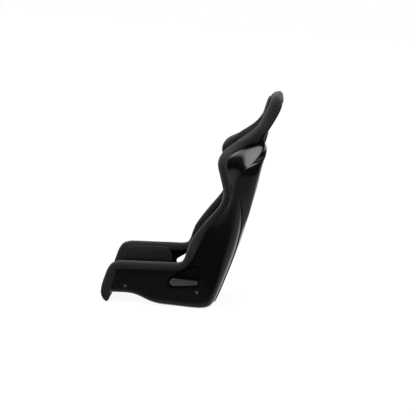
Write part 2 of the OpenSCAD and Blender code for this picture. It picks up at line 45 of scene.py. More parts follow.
# ------------------------------------------------------------------ the shell's own surface, in millimetres
B, SHELL_T, PANEL_T, GAP, LINING_T = 203.0, 5.0, 4.5, 0.4, 7.0
ST = np.array([
    [-296, 38, -279, 152, B, 18, B, 0, 0.97, 0], [-262, 40, -262, 156, B, 18, B, 0, 0.97, 0],
    [-200, 43, -203, 159, B, 18, B, 0, 0.97, 0], [-150, 20, -155, 161, B, 20, B, 0, 0.97, 0],
    [-108, 5, -110, 164, B, 24, B, 0, 0.97, 0], [-50, 4, -62, 166, B, 26, B, 0, 0.97, 0],
    [10, 2, -24, 169, B, 26, B, 0, 0.97, 0], [74, 0, -3, 181, B, 28, B, 0, 0.97, 0],
    [116, 10, 8, 203, B, 30, B-1, 0, 0.97, 3], [134, 52, 19, 234, B-1, 34, B-6, 1, 0.97, 3],
    [151, 102, 30, 267, B-9, 40, B-17, 2, 0.97, 3], [169, 158, 45, 300, B-16, 46, B-23, 1, 0.97, 3],
    [188, 222, 65, 334, B-20, 50, B-23, 0, 0.98, 4], [202, 287, 93, 376, B-21, 50, B-20, -2, 1.00, 7],
    [209, 347, 124, 415, B-19, 46, B-11, -4, 1.08, 14], [211, 407, 143, 456, B-15, 40, B+2, -6, 1.35, 24],
    [212, 467, 146, 502, B-10, 36, B+19, -6, 1.80, 33], [218, 529, 133, 547, B-4, 34, B+36, -5, 2.08, 37],
    [233, 580, 119, 588, B+2, 30, B+47, -2, 2.08, 29], [249, 610, 116, 613, B-18, 28, B+46, 0, 2.00, 19],
    [264, 637, 120, 635, B-45, 24, B+26, 0, 1.75, 10], [279, 661, 137, 653, B-70, 22, B-10, 0, 1.50, 3],
    [276, 684, 170, 672, B-82, 20, B-42, 0, 1.50, 0], [271, 706, 206, 692, B-80, 15, B-56, 0, 1.50, 0],
    [281, 731, 242, 721, B-82, 10, B-65, 0, 1.50, 0], [296, 757, 268, 756, B-90, 8, B-80, 0, 1.50, 0],
    [313, 791, 284, 792, B-100, 6, B-93, 0, 1.50, 0], [328, 827, 300, 829, B-108, 6, B-100, 0, 1.50, 0],
    [330, 848, 307, 850, B-121, 6, B-107, 0, 1.50, 0], [327, 859, 312, 861, B-140, 6, B-122, 0, 1.50, 0],
    [325, 864, 316, 865, B-165, 6, B-150, 0, 1.50, 0]], float)
UN = len(ST) - 1
EXT = np.vstack([2 * ST[0] - ST[1], ST, 2 * ST[UN] - ST[UN - 1]])


def row(u):
    """The station at u, by uniform cubic B-spline."""
    u = np.asarray(u, float)
    i = np.clip(np.floor(u).astype(int), 0, UN - 1)
    t = (u - i)[..., None]
    return ((1 - t) ** 3 * EXT[i] + (3 * t ** 3 - 6 * t ** 2 + 4) * EXT[i + 1]
            + (-3 * t ** 3 + 3 * t ** 2 + 3 * t + 1) * EXT[i + 2] + t ** 3 * EXT[i + 3]) / 6


def sec(u, v):
    """Point of the outer surface: u along the seat, v across it (0 middle, 1 flat's end, 2 corner's end, 3 rim)."""
    u, v = np.broadcast_arrays(np.asarray(u, float), np.asarray(v, float))
    r = row(u)
    a = np.abs(v)
    length = np.hypot(r[..., 2] - r[..., 0], r[..., 3] - r[..., 1])
    rc = np.minimum(r[..., 5], length * .7)
    q = np.radians((np.clip(a, 1, 2) - 1) * 90)
    t = a - 2
    x = np.where(a <= 1, a * (r[..., 4] - rc), np.where(
        a <= 2, r[..., 4] - rc + rc * np.sin(q),
        r[..., 4] + (r[..., 6] - r[..., 4]) * t * t * (2 - t) + r[..., 7] * np.sin(np.pi * np.minimum(t, 1)) ** 2))
    h = np.where(a <= 1, 0, np.where(a <= 2, rc * (1 - np.cos(q)), rc + (length - rc) * t))
    k = h / length
    return np.stack([np.where(v < 0, -x, x), r[..., 0] + (r[..., 2] - r[..., 0]) * k,
                     r[..., 1] + (r[..., 3] - r[..., 1]) * k], -1)


def unit(a):
    a = np.asarray(a, float)
    return a / np.maximum(np.linalg.norm(a, axis=-1, keepdims=True), 1e-9)


def nrm(u, v):
    e = .02
    u, v = np.asarray(u, float), np.asarray(v, float)
    return unit(np.cross(sec(u + e, v) - sec(u - e, v), sec(u, v + e) - sec(u, v - e)))


def off(u, v, o):
    return sec(u, v) - nrm(u, v) * np.asarray(o, float)[..., None]


def grid_uv(us, vs):
    return np.meshgrid(np.asarray(us, float), np.asarray(vs, float), indexing="ij")


def ease(x):
    return np.sin(np.pi / 2 * np.clip(x, 0, 1))


def dome(x, p):
    return np.sqrt(np.maximum(0, 1 - np.abs(2 * x - 1) ** p))


def smooth(x, a, b):
    t = np.clip((x - a) / (b - a), 0, 1)
    return t * t * (3 - 2 * t)


def spline(points, count, closed=False, alpha=.5):
    """Centripetal Catmull-Rom through rows of numbers of any shape, evenly resampled to count rows."""
    p = np.asarray(points, float)
    n = len(p)
    flat = p.reshape(n, -1)
    if closed:
        flat = np.vstack([flat[-1], flat, flat[0], flat[1]])
    else:
        flat = np.vstack([2 * flat[0] - flat[1], flat, 2 * flat[-1] - flat[-2]])
    d = np.maximum(np.linalg.norm(np.diff(flat, axis=0), axis=1), 1e-9) ** alpha
    t = np.concatenate([[0], np.cumsum(d)])
    out = []
    for k in range(1, len(flat) - 2):
        steps = 24
        for s in range(steps):
            x = t[k] + (t[k + 1] - t[k]) * s / steps
            a1 = (t[k] - x) / (t[k] - t[k - 1]) * flat[k - 1] + (x - t[k - 1]) / (t[k] - t[k - 1]) * flat[k]
            a2 = (t[k + 1] - x) / (t[k + 1] - t[k]) * flat[k] + (x - t[k]) / (t[k + 1] - t[k]) * flat[k + 1]
            a3 = (t[k + 2] - x) / (t[k + 2] - t[k + 1]) * flat[k + 1] + (x - t[k + 1]) / (t[k + 2] - t[k + 1]) * flat[k + 2]
            b1 = (t[k + 1] - x) / (t[k + 1] - t[k - 1]) * a1 + (x - t[k - 1]) / (t[k + 1] - t[k - 1]) * a2
            b2 = (t[k + 2] - x) / (t[k + 2] - t[k]) * a2 + (x - t[k]) / (t[k + 2] - t[k]) * a3
            out.append((t[k + 1] - x) / (t[k + 1] - t[k]) * b1 + (x - t[k]) / (t[k + 1] - t[k]) * b2)
    if not closed:
        out.append(flat[-2])
    out = np.array(out)
    if closed:
        out = np.vstack([out, out[0]])
    s = np.concatenate([[0], np.cumsum(np.linalg.norm(np.diff(out, axis=0), axis=1))])
    want = np.linspace(0, s[-1], count + 1)[:-1] if closed else np.linspace(0, s[-1], count)
    even = np.stack([np.interp(want, s, out[:, j]) for j in range(out.shape[1])], 1)
    return even.reshape((count,) + p.shape[1:])


# ------------------------------------------------------------------ meshes
def signed_volume(v, faces):
    total = 0.0
    for f in faces:
        f = np.asarray(f)
        for k in range(1, f.shape[-1] - 1):
            a, b, c = v[f[..., 0]], v[f[..., k]], v[f[..., k + 1]]
            total += float((a * np.cross(b, c)).sum())
    return total / 6


def make(name, verts, quads, ngons=()):
    """A mesh object in metres from vertices in millimetres, its normals outward."""
    v = np.asarray(verts, float)
    q = np.asarray(quads, int)
    if signed_volume(v - v.mean(0), [q]) < 0:
        q = q[:, ::-1]
    me = bpy.data.meshes.new(name)
    me.from_pydata((v * MM).tolist(), [], q.tolist() + [list(n) for n in ngons])
    me.validate()
    me.shade_smooth()
    ob = bpy.data.objects.new(name, me)
    scene.collection.objects.link(ob)
    if ngons:
        fix_normals(ob)
    return ob


def fix_normals(ob):
    bm = bmesh.new()
    bm.from_mesh(ob.data)
    bmesh.ops.recalc_face_normals(bm, faces=bm.faces)
    bm.to_mesh(ob.data)
    bm.free()


def sharp(ob, degrees=40):
    ob.data.set_sharp_from_angle(angle=math.radians(degrees))


def between(name, top, bot):
    """A closed solid between two grids of points of the same size."""
    n, m = top.shape[:2]
    k = n * m
    i, j = np.meshgrid(np.arange(n - 1), np.arange(m - 1), indexing="ij")
    a = (i * m + j).ravel()
    faces = [np.stack([a, a + m, a + m + 1, a + 1], 1), np.stack([k + a, k + a + 1, k + a + m + 1, k + a + m], 1)]
    i, j = np.arange(n - 1), np.arange(m - 1)
    e = i * m
    faces.append(np.stack([e, k + e, k + e + m, e + m], 1))
    e = i * m + m - 1
    faces.append(np.stack([e, e + m, k + e + m, k + e], 1))
    faces.append(np.stack([j, j + 1, k + j + 1, k + j], 1))
    e = (n - 1) * m + j
    faces.append(np.stack([e, k + e, k + e + 1, e + 1], 1))
    return make(name, np.vstack([top.reshape(-1, 3), bot.reshape(-1, 3)]), np.vstack(faces))


def loft(name, rings, closed=False, caps=True):
    """Rings of points joined one after another; closed joins the last to the first."""
    r = np.asarray(rings, float)
    n, m = r.shape[:2]
    ii = np.arange(n if closed else n - 1)
    i, j = np.meshgrid(ii, np.arange(m), indexing="ij")
    a, b = i * m + j, i * m + (j + 1) % m
    c, d = (i + 1) % n * m + (j + 1) % m, (i + 1) % n * m + j
    quads = np.stack([a.ravel(), b.ravel(), c.ravel(), d.ravel()], 1)
    ends = [] if closed or not caps else [list(range(m)), list(range((n - 1) * m, n * m))[::-1]]
    return make(name, r.reshape(-1, 3), quads, ends)


def apply_all(ob):
    """Applies the modifiers of ob to its mesh."""
    dg = bpy.context.evaluated_depsgraph_get()
    me = bpy.data.meshes.new_from_object(ob.evaluated_get(dg))
    ob.modifiers.clear()
    old = ob.data
    ob.data = me
    bpy.data.meshes.remove(old)
    me.name = ob.name


def coords(ob):
    co = np.empty(len(ob.data.vertices) * 3)
    ob.data.vertices.foreach_get("co", co)
    return co.reshape(-1, 3)


def set_coords(ob, co):
    ob.data.vertices.foreach_set("co", np.asarray(co, float).ravel())
    ob.data.update()


def normals(ob):
    n = np.empty(len(ob.data.vertices) * 3, np.float32)
    ob.data.vertex_normals.foreach_get("vector", n)
    return n.reshape(-1, 3).astype(float)


def cut(ob, cutters):
    """Cuts closed meshes out of ob."""
    for c in cutters:
        m = ob.modifiers.new("cut", "BOOLEAN")
        m.operation, m.solver, m.object = "DIFFERENCE", "EXACT", c
        apply_all(ob)
        bpy.data.objects.remove(c)


def mirrored(ob, name):
    """A copy of ob on the other side of the seat."""
    me = ob.data.copy()
    new = bpy.data.objects.new(name, me)
    scene.collection.objects.link(new)
    co = coords(new)
    co[:, 0] *= -1
    set_coords(new, co)
    me.flip_normals()
    me.name = name
    return new


def tree_of(ob):
    bm = bmesh.new()
    bm.from_mesh(ob.data)
    bm.normal_update()
    t = BVHTree.FromBMesh(bm)
    bm.free()
    return t


def done(ob, mat, replaces=()):
    """Gives the piece its material, hides the parts it replaces and makes it ride on the root body."""
    ob.data.materials.clear()
    ob.data.materials.append(mat)
    if replaces:
        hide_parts(*([replaces] if isinstance(replaces, str) else replaces))
    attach(ob, "root")
    return ob


# ------------------------------------------------------------------ materials
def material(name, colour, rough, spec=.5, metal=0.0, sheen=0.0, sheen_rough=.5, coat=0.0, coat_rough=.05):
    m = bpy.data.materials.new(name)
    m.use_nodes = True
    nt = m.node_tree
    nt.nodes.clear()
    out = nt.nodes.new("ShaderNodeOutputMaterial")
    p = nt.nodes.new("ShaderNodeBsdfPrincipled")
    nt.links.new(p.outputs[0], out.inputs[0])
    p.inputs["Base Color"].default_value = (*colour, 1)
    p.inputs["Roughness"].default_value = rough
    p.inputs["Metallic"].default_value = metal
    p.inputs["Specular IOR Level"].default_value = spec
    p.inputs["Sheen Weight"].default_value = sheen
    p.inputs["Sheen Roughness"].default_value = sheen_rough
    p.inputs["Coat Weight"].default_value = coat
    p.inputs["Coat Roughness"].default_value = coat_rough
    return m, nt, p


class Nodes:
    """Short helpers for building a node tree."""

    def __init__(self, nt):
        self.nt = nt

    def add(self, kind, inputs=None, **props):
        n = self.nt.nodes.new(kind)
        for k, v in props.items():
            setattr(n, k, v)
        for k, v in (inputs or {}).items():
            if isinstance(v, bpy.types.NodeSocket):
                self.nt.links.new(v, n.inputs[k])
            else:
                n.inputs[k].default_value = v
        return n

    def math(self, op, a, b=0.0, clamp=False):
        return self.add("ShaderNodeMath", {0: a, 1: b}, operation=op, use_clamp=clamp).outputs[0]

    def noise(self, vec, scale, detail=3.0, rough=.5):
        return self.add("ShaderNodeTexNoise", {"Vector": vec, "Scale": scale, "Detail": detail, "Roughness": rough}).outputs["Fac"]

    def ramp(self, fac, stops):
        r = self.add("ShaderNodeValToRGB", {"Fac": fac})
        el = r.color_ramp.elements
        while len(el) < len(stops):
            el.new(.5)
        for e, (x, c) in zip(el, stops):
            e.position, e.color = x, (*c, 1)
        return r.outputs["Color"]

    def span(self, fac, lo, hi, a=0.0, b=1.0):
        return self.add("ShaderNodeMapRange", {"Value": fac, "From Min": a, "From Max": b, "To Min": lo, "To Max": hi}).outputs["Result"]

    def bump(self, height, strength, distance, normal=None):
        ins = {"Height": height, "Strength": strength, "Distance": distance}
        if normal is not None:
            ins["Normal"] = normal
        return self.add("ShaderNodeBump", ins).outputs["Normal"]


def weave_group():
    """Plain weave seen square-on from three sides and blended by the surface's own direction. Height 0..1."""
    g = bpy.data.node_groups.new("weave", "ShaderNodeTree")
    g.interface.new_socket("Pitch", in_out="INPUT", socket_type="NodeSocketFloat")
    g.interface.new_socket("Height", in_out="OUTPUT", socket_type="NodeSocketFloat")
    n = Nodes(g)
    gi, go = g.nodes.new("NodeGroupInput"), g.nodes.new("NodeGroupOutput")
    tc = n.add("ShaderNodeTexCoord")
    warp = n.add("ShaderNodeTexNoise", {"Vector": tc.outputs["Object"], "Scale": 45.0, "Detail": 1.0})
    shift = n.add("ShaderNodeVectorMath", {0: warp.outputs["Color"], 1: (.0016, .0016, .0016)}, operation="MULTIPLY")
    at = n.add("ShaderNodeVectorMath", {0: tc.outputs["Object"], 1: shift.outputs[0]}, operation="ADD")
    k = n.math("DIVIDE", math.pi, gi.outputs["Pitch"])
    p = n.add("ShaderNodeSeparateXYZ", {0: at.outputs[0]})
    s = [n.math("SINE", n.math("MULTIPLY", p.outputs[i], k)) for i in range(3)]
    a = [n.math("ABSOLUTE", x) for x in s]
    d = n.add("ShaderNodeSeparateXYZ", {0: tc.outputs["Normal"]})
    w = [n.math("POWER", n.math("ABSOLUTE", d.outputs[i]), 6.0) for i in range(3)]
    total = n.math("ADD", n.math("ADD", w[0], w[1]), n.math("ADD", w[2], .0001))
    acc = None
    for i, (x, y) in enumerate([(1, 2), (0, 2), (0, 1)]):
        over = n.math("GREATER_THAN", n.math("MULTIPLY", s[x], s[y]), 0.0)
        h = n.math("ADD", n.math("MULTIPLY", a[x], over), n.math("MULTIPLY", a[y], n.math("SUBTRACT", 1.0, over)))
        part = n.math("MULTIPLY", h, n.math("DIVIDE", w[i], total))
        acc = part if acc is None else n.math("ADD", acc, part)
    g.links.new(acc, go.inputs["Height"])
    return g


WEAVE = weave_group()


def fabric(name, colour, pitch, sheen=.35, depth=.00028, mottling=.14, rough=.92, pile=.6):
    """Woven or knitted upholstery cloth: weave relief, fine pile, slow change of tone, and painted light and shade of
    the weave: raised yarn painted lighter, the gaps between yarns painted darker.
    """
    m, nt, p = material(name, colour, rough, spec=.18, sheen=sheen, sheen_rough=.45)
    n = Nodes(nt)
    tc = n.add("ShaderNodeTexCoord").outputs["Object"]
    weave = n.add("ShaderNodeGroup", {"Pitch": pitch}, node_tree=WEAVE).outputs["Height"]
    pile_n = n.noise(tc, 1400.0, 2.0, .7)
    slow = n.noise(tc, 7.0, 3.0, .5)
    mid = n.noise(tc, 70.0, 3.0, .6)
    shade = n.math("ADD", n.math("MULTIPLY", slow, .65), n.math("MULTIPLY", mid, .35))
    # painted light and shade: the weave's height scales the cloth colour, lighter on the raised yarn and darker in the
    # gaps
    weave_light_and_shade = n.span(weave, .62, 1.18)
    lo = tuple(c * (1 - mottling) for c in colour)
    hi = tuple(c * (1 + mottling) for c in colour)
    base = n.ramp(shade, [(.3, lo), (.7, hi)])
    weave_shaded_colour = n.add("ShaderNodeVectorMath", {0: base, 1: (1, 1, 1)}, operation="SCALE")
    nt.links.new(base, weave_shaded_colour.inputs[0])
    nt.links.new(weave_light_and_shade, weave_shaded_colour.inputs["Scale"])
    nt.links.new(weave_shaded_colour.outputs[0], p.inputs["Base Color"])
    nt.links.new(n.span(mid, rough - .08, min(1.0, rough + .06), .3, .7), p.inputs["Roughness"])
    height = n.math("ADD", weave, n.math("MULTIPLY", pile_n, pile))
    b = n.bump(height, .55, depth)
    b = n.bump(mid, .12, .0006, b)
    nt.links.new(b, p.inputs["Normal"])
    return m


def gelcoat_mat():
    """Black gel-coat out of a mould: glossy, faint orange peel, hairline polishing marks, a little dust."""
    m, nt, p = material("gelcoat_black", (.0020, .0014, .0013), .16, spec=.5, coat=.0)
    n = Nodes(nt)
    tc = n.add("ShaderNodeTexCoord").outputs["Object"]
    peel = n.noise(tc, 210.0, 2.0, .5)
    wave = n.noise(tc, 26.0, 2.0, .5)
    dust = n.noise(tc, 120.0, 6.0, .75)
    hair = n.add("ShaderNodeMapping", {"Vector": tc, "Rotation": (.4, .2, .9), "Scale": (18.0, 420.0, 60.0)}).outputs[0]
    marks = n.noise(hair, 6.0, 3.0, .6)
    r = n.math("ADD", n.span(dust, .135, .19, .35, .7), n.span(marks, -.015, .03, .55, .8))
    nt.links.new(r, p.inputs["Roughness"])
    nt.links.new(n.ramp(dust, [(.45, (.0019, .0013, .0012)), (.75, (.0034, .0028, .0027))]), p.inputs["Base Color"])
    b = n.bump(wave, .12, .0012)
    b = n.bump(peel, .10, .00025, b)
    nt.links.new(b, p.inputs["Normal"])
    return m


def rubber_mat():
    m, nt, p = material("trim_rubber_black", (.0010, .0010, .0011), .75, spec=.03)
    n = Nodes(nt)
    tc = n.add("ShaderNodeTexCoord").outputs["Object"]
    fine = n.noise(tc, 900.0, 3.0, .6)
    bloom = n.noise(tc, 60.0, 5.0, .7)
    nt.links.new(n.span(bloom, .66, .82, .35, .7), p.inputs["Roughness"])
    nt.links.new(n.ramp(bloom, [(.4, (.0008, .0008, .0009)), (.75, (.0020, .0020, .0022))]), p.inputs["Base Color"])
    nt.links.new(n.bump(fine, .25, .0002), p.inputs["Normal"])
    return m


def plastic_mat():
    """Moulded black plastic with an eroded grain."""
    m, nt, p = material("bezel_plastic_black", (.008, .008, .0085), .46, spec=.45)
    n = Nodes(nt)
    tc = n.add("ShaderNodeTexCoord").outputs["Object"]
    cell = n.add("ShaderNodeTexVoronoi", {"Vector": tc, "Scale": 900.0}).outputs["Distance"]
    wear = n.noise(tc, 80.0, 5.0, .7)
    nt.links.new(n.span(wear, .38, .54, .35, .7), p.inputs["Roughness"])
    nt.links.new(n.ramp(wear, [(.4, (.007, .007, .0075)), (.75, (.012, .012, .0125))]), p.inputs["Base Color"])
    nt.links.new(n.bump(cell, .3, .00025), p.inputs["Normal"])
    return m


def steel_mat(name, colour, rough):
    """Zinc-plated steel, turned or sawn, with fine drawing marks and a slow change of tone."""
    m, nt, p = material(name, colour, rough, metal=1.0)
    n = Nodes(nt)
    tc = n.add("ShaderNodeTexCoord").outputs["Object"]
    lines = n.add("ShaderNodeMapping", {"Vector": tc, "Scale": (60.0, 2600.0, 2600.0)}).outputs[0]
    fine = n.noise(lines, 1.0, 3.0, .6)
    tone = n.noise(tc, 240.0, 4.0, .6)
    nt.links.new(n.span(fine, rough - .08, rough + .12, .3, .7), p.inputs["Roughness"])
    nt.links.new(n.ramp(tone, [(.35, tuple(c * .82 for c in colour)), (.7, colour)]), p.inputs["Base Color"])
    nt.links.new(n.bump(fine, .2, .0001), p.inputs["Normal"])
    return m


def hook_mat():
    m, nt, p = material("hook_tape_black", (.012, .012, .013), .8, spec=.3, sheen=.2)
    n = Nodes(nt)
    tc = n.add("ShaderNodeTexCoord").outputs["Object"]
    hooks = n.add("ShaderNodeTexVoronoi", {"Vector": tc, "Scale": 700.0}, feature="F1").outputs["Distance"]
    slow = n.noise(tc, 40.0, 3.0, .6)
    nt.links.new(n.ramp(hooks, [(.2, (.03, .03, .032)), (.6, (.006, .006, .0065))]), p.inputs["Base Color"])
    nt.links.new(n.span(slow, .7, .9, .3, .7), p.inputs["Roughness"])
    nt.links.new(n.bump(hooks, .8, .0008), p.inputs["Normal"])
    return m


def thread_mat():
    m, nt, p = material("thread_charcoal", (.014, .014, .0145), .6, spec=.25, sheen=.1)
    n = Nodes(nt)
    tc = n.add("ShaderNodeTexCoord").outputs["Object"]
    twist = n.noise(tc, 1600.0, 2.0, .6)
    nt.links.new(n.ramp(twist, [(.3, (.010, .010, .0105)), (.7, (.019, .019, .0195))]), p.inputs["Base Color"])
    nt.links.new(n.span(twist, .5, .75), p.inputs["Roughness"])
    nt.links.new(n.bump(twist, .5, .0002), p.inputs["Normal"])
    return m


GEL = gelcoat_mat()
RUBBER = rubber_mat()
PLASTIC = plastic_mat()
INSERT = steel_mat("insert_steel_zinc", (.30, .31, .35), .42)
PLATE = steel_mat("plate_steel_plain", (.36, .37, .39), .42)
RIM = fabric("rim_cloth_charcoal", (.0115, .0113, .0113), .0014, sheen=.10)
CUSHION = fabric("cushion_cloth_charcoal", (.0092, .0091, .0092), .0018, sheen=.08, depth=.00035)
LINING = fabric("lining_cloth_charcoal", (.010, .010, .010), .0012, sheen=.08)
PIPE = fabric("piping_cloth_black", (.0095, .0095, .0095), .001, sheen=.06, mottling=.2)
HOOK = hook_mat()
THREAD = thread_mat()


# ------------------------------------------------------------------ outlines of the slots
class Hull:
    """The convex outline round discs (given anticlockwise), which can be grown and shrunk point by point."""

    def __init__(self, discs, count, least=1.2):
        self.d, self.least = np.asarray(discs, float), least
        k = len(self.d)
        turn = []
        for i in range(k):
            a, b = self.d[i], self.d[(i + 1) % k]
            e = b[:2] - a[:2]
            turn.append(math.atan2(e[1], e[0]) - math.acos(max(-1, min(1, (a[2] - b[2]) / np.hypot(*e)))))
        items = []
        for i in range(k):
            a0, a1 = turn[i - 1], turn[i]
            while a1 < a0:
                a1 += 2 * math.pi
            steps = max(3, int((a1 - a0) * 14))
            items += [(i, i, 0.0, a0 + (a1 - a0) * s / steps) for s in range(steps + 1)]
            length = np.hypot(*(self.d[(i + 1) % k][:2] - self.d[i][:2]))
            cuts = max(2, int(length / 3))
            items += [(i, (i + 1) % k, s / cuts, turn[i]) for s in range(1, cuts)]
        self.i = np.array([x[0] for x in items])
        self.j = np.array([x[1] for x in items])
        self.t = np.array([x[2] for x in items])[:, None]
        self.n = np.stack([np.cos([x[3] for x in items]), np.sin([x[3] for x in items])], 1)

    def at(self, g):
        ra = np.maximum(self.least, self.d[self.i, 2] + g)[:, None]
        rb = np.maximum(self.least, self.d[self.j, 2] + g)[:, None]
        return (self.d[self.i, :2] + ra * self.n) * (1 - self.t) + (self.d[self.j, :2] + rb * self.n) * self.t


LAP = Hull([(-43, 105, 25), (52, 102, 9), (46, 170, 14), (25, 167, 13)], 160)
HW, HH = 62 / 2 - 12, 38 / 2 - 12
HARNESS = Hull([(-HW, -HH, 12), (HW, -HH, 12), (HW, HH, 12), (-HW, HH, 12)], 120)
CY = -52.0
CROTCH = Hull([(-25, CY, 17), (25, CY, 17)], 120)
HC = row(23.0)
HL = math.radians(11)


def harness_at(side, p2, h):
    """A point of the shoulder slot's plane, moved h towards the front."""
    x, y = p2[..., 0], p2[..., 1]
    return np.stack([side * 72 + x, HC[0] + .8 - h * math.cos(HL) + y * math.sin(HL),
                     HC[1] + 2 + h * math.sin(HL) + y * math.cos(HL)], -1)


def uv_at(y, z):
    """The (u, v) of the left side wall's outer surface at a given y and z."""
    u, v = np.full(len(y), 7.0), np.full(len(y), 2.55)
    e = 1e-3
    for _ in range(25):
        p = sec(u, v)
        du = (sec(u + e, v) - sec(u - e, v)) / (2 * e)
        dv = (sec(u, v + e) - sec(u, v - e)) / (2 * e)
        ry, rz = y - p[:, 1], z - p[:, 2]
        det = du[:, 1] * dv[:, 2] - du[:, 2] * dv[:, 1]
        det = np.where(np.abs(det) < 1e-6, 1e-6, det)
        u = np.clip(u + np.clip((ry * dv[:, 2] - rz * dv[:, 1]) / det, -.8, .8), 3, 11.5)
        v = np.clip(v + np.clip((rz * du[:, 1] - ry * du[:, 2]) / det, -.3, .3), 1.6, 3.2)
    return u, v


# ------------------------------------------------------------------ shell and back panel
U_SHELL = np.concatenate([np.linspace(0, 8, 78, endpoint=False), np.linspace(8, 24, 150, endpoint=False), np.linspace(24, 29.3, 54)])
half = np.concatenate([np.linspace(0, 1, 12, endpoint=False), np.linspace(1, 2, 14, endpoint=False), np.linspace(2, 3, 25)])
V_SHELL = np.concatenate([-half[:0:-1], half])


def analytic_normals(ob, source, source_normals, limit=.77):
    """Shades ob with the normals of the uncut surface wherever its faces still lie on it."""
    kd_tree = BVHTree.FromPolygons(*source)
    src_f = np.asarray(source[1])
    me = ob.data
    co = coords(ob)
    near = np.zeros((len(co), 3))
    src_v = np.asarray(source[0])
    for i, c in enumerate(co):
        p, _, f, d = kd_tree.find_nearest(Vector(c))
        ids = src_f[f]
        w = 1 / (np.linalg.norm(src_v[ids] - np.array(p), axis=1) ** 2 + 1e-10)
        near[i] = (source_normals[ids] * w[:, None]).sum(0)
    near = unit(near)
    n_loops = len(me.loops)
    vi = np.empty(n_loops, np.int32)
    me.loops.foreach_get("vertex_index", vi)
    start = np.empty(len(me.polygons), np.int32)
    total = np.empty(len(me.polygons), np.int32)
    me.polygons.foreach_get("loop_start", start)
    me.polygons.foreach_get("loop_total", total)
    fn = np.empty(len(me.polygons) * 3, np.float32)
    me.polygons.foreach_get("normal", fn)
    fn = np.repeat(fn.reshape(-1, 3), total, axis=0)
    order = np.concatenate([np.arange(s, s + t) for s, t in zip(start, total)])
    face_n = np.zeros((n_loops, 3))
    face_n[order] = fn
    ln = near[vi]
    ok = (ln * face_n).sum(1) > limit
    ln[~ok] = face_n[~ok]
    me.normals_split_custom_set(ln.tolist())


def make_shell():
    u, v = grid_uv(U_SHELL, V_SHELL)
    n = nrm(u, v)
    top, bot = sec(u, v), sec(u, v) - n * SHELL_T
    ob = between("shell_moulding", top, bot)
    m = len(V_SHELL)
    src_v = np.vstack([top.reshape(-1, 3), bot.reshape(-1, 3)]) * MM
    src_f = [tuple(p.vertices) for p in ob.data.polygons][: 2 * (len(U_SHELL) - 1) * (m - 1)]
    src_n = np.vstack([n.reshape(-1, 3), -n.reshape(-1, 3)])
    cutters = []
    for s in (-1, 1):
        o = LAP.at(-5)
        cutters.append(loft("c", [np.stack([np.full(len(o), s * x), o[:, 0], o[:, 1]], 1) for x in (B - 14, B + 12)]))
        o = HARNESS.at(0)
        cutters.append(loft("c", [harness_at(s, o, h) for h in (-25, 25)]))
        for y in (54, -236):
            q = np.linspace(0, 2 * math.pi, 32, endpoint=False)
            cutters.append(loft("c", [np.stack([np.full(32, s * x), y + 6.3 * np.cos(q), 72 + 6.3 * np.sin(q)], 1) for x in (B - 15, B + 15)]))
    o = CROTCH.at(0)
    cutters.append(loft("c", [np.stack([o[:, 0], o[:, 1], np.full(len(o), z)], 1) for z in (-10, 30)]))
    cut(ob, cutters)
    analytic_normals(ob, (src_v.tolist(), src_f), src_n)
    done(ob, GEL, "main_shell")
    return ob


U0, UC, US, UR = 8.5, 21.05, 18.1, 17.9


def across(r, a):
    """How far out and how far forward a point of a section lies."""
    length = np.hypot(r[..., 2] - r[..., 0], r[..., 3] - r[..., 1])
    rc = np.minimum(r[..., 5], length * .7)
    q = np.radians((np.clip(a, 1, 2) - 1) * 90)
    t = a - 2
    x = np.where(a <= 1, a * (r[..., 4] - rc), np.where(
        a <= 2, r[..., 4] - rc + rc * np.sin(q),
        r[..., 4] + (r[..., 6] - r[..., 4]) * t * t * (2 - t) + r[..., 7] * np.sin(np.pi * np.clip(t, 0, 1)) ** 2))
    return x, np.where(a <= 1, 0, np.where(a <= 2, rc * (1 - np.cos(q)), rc + (length - rc) * t))


def pan(a, b, o):
    u = U0 + (UC + (US - UC) * np.abs(b) ** 2.8 - U0) * a
    r = row(u)
    v = r[..., 8] * b
    k = ease((1 - np.abs(b)) / .3) * ease((1 - a) / .008) * ease(a / .06)
    back = unit(np.stack([np.zeros_like(u), r[..., 0] - r[..., 2], r[..., 1] - r[..., 3]], -1))
    own = np.where(u < UR, u, UR + .4 * (1 - np.exp(-(np.maximum(u, UR) - UR) / .4)))
    x0, h0 = across(r, np.abs(v))
    x1, h1 = across(row(own), np.abs(v))
    p = sec(u, v) + nrm(u, v) * np.asarray(o, float)[..., None] + back * (k * (r[..., 9] + np.maximum(0, h0 - h1)))[..., None]
    p[..., 0] += np.where(b < 0, -1, 1) * np.maximum(0, x1 - x0) * k
    return p


def make_panel():
    k = np.linspace(0, 1, 46)
    side = 1 - (1 - k) ** 1.35
    b = np.concatenate([-side[:0:-1], side])
    a = np.concatenate([np.linspace(0, .08, 12, endpoint=False), np.linspace(.08, .86, 86, endpoint=False), np.linspace(.86, .985, 30, endpoint=False), np.linspace(.985, 1, 16)])
    a, b = grid_uv(a, b)
    # the outer edge is eased over by a millimetre, as a trimmed laminate is
    lip = np.minimum(np.minimum(1 - np.abs(b), .5) * 160, np.minimum(a, 1 - a) * 420)
    ease_edge = 1.1 * np.clip(1 - lip / 1.4, 0, 1) ** 2
    ob = between("back_moulding", pan(a, b, GAP + PANEL_T - ease_edge), pan(a, b, np.full(a.shape, GAP)))
    sharp(ob, 45)
    return done(ob, GEL, "back_panel")


# ------------------------------------------------------------------ padded rim rolls
RW = np.array([[0, 19], [5, 18.5], [6, 17.5], [7, 15], [8, 15], [9, 17.5], [10, 19.5], [11, 17], [12, 14.5], [13, 13], [14, 13],
               [15, 13.5], [16, 13.5], [17, 14], [18, 15], [19, 16], [20, 17.5], [21, 18.5], [22, 18.5], [23, 18.5], [24, 19.5],
               [25, 20.5], [26, 21.5], [27, 22], [28, 23], [29, 24], [30, 22.5]], float)
ROUND = 44


def pwr(x, e=.77):
    return np.sign(x) * np.abs(x) ** e


def lip_f(k, b):
    return math.asin(min(1, abs(k) / b) ** 1.3)


def lip_w(w, ro, ri, inner):
    c, b = (ro - ri - SHELL_T) / 2, (ro + ri + SHELL_T) / 2
    return w * math.cos(lip_f(-SHELL_T - GAP - c if inner else GAP - c, b)) ** .77


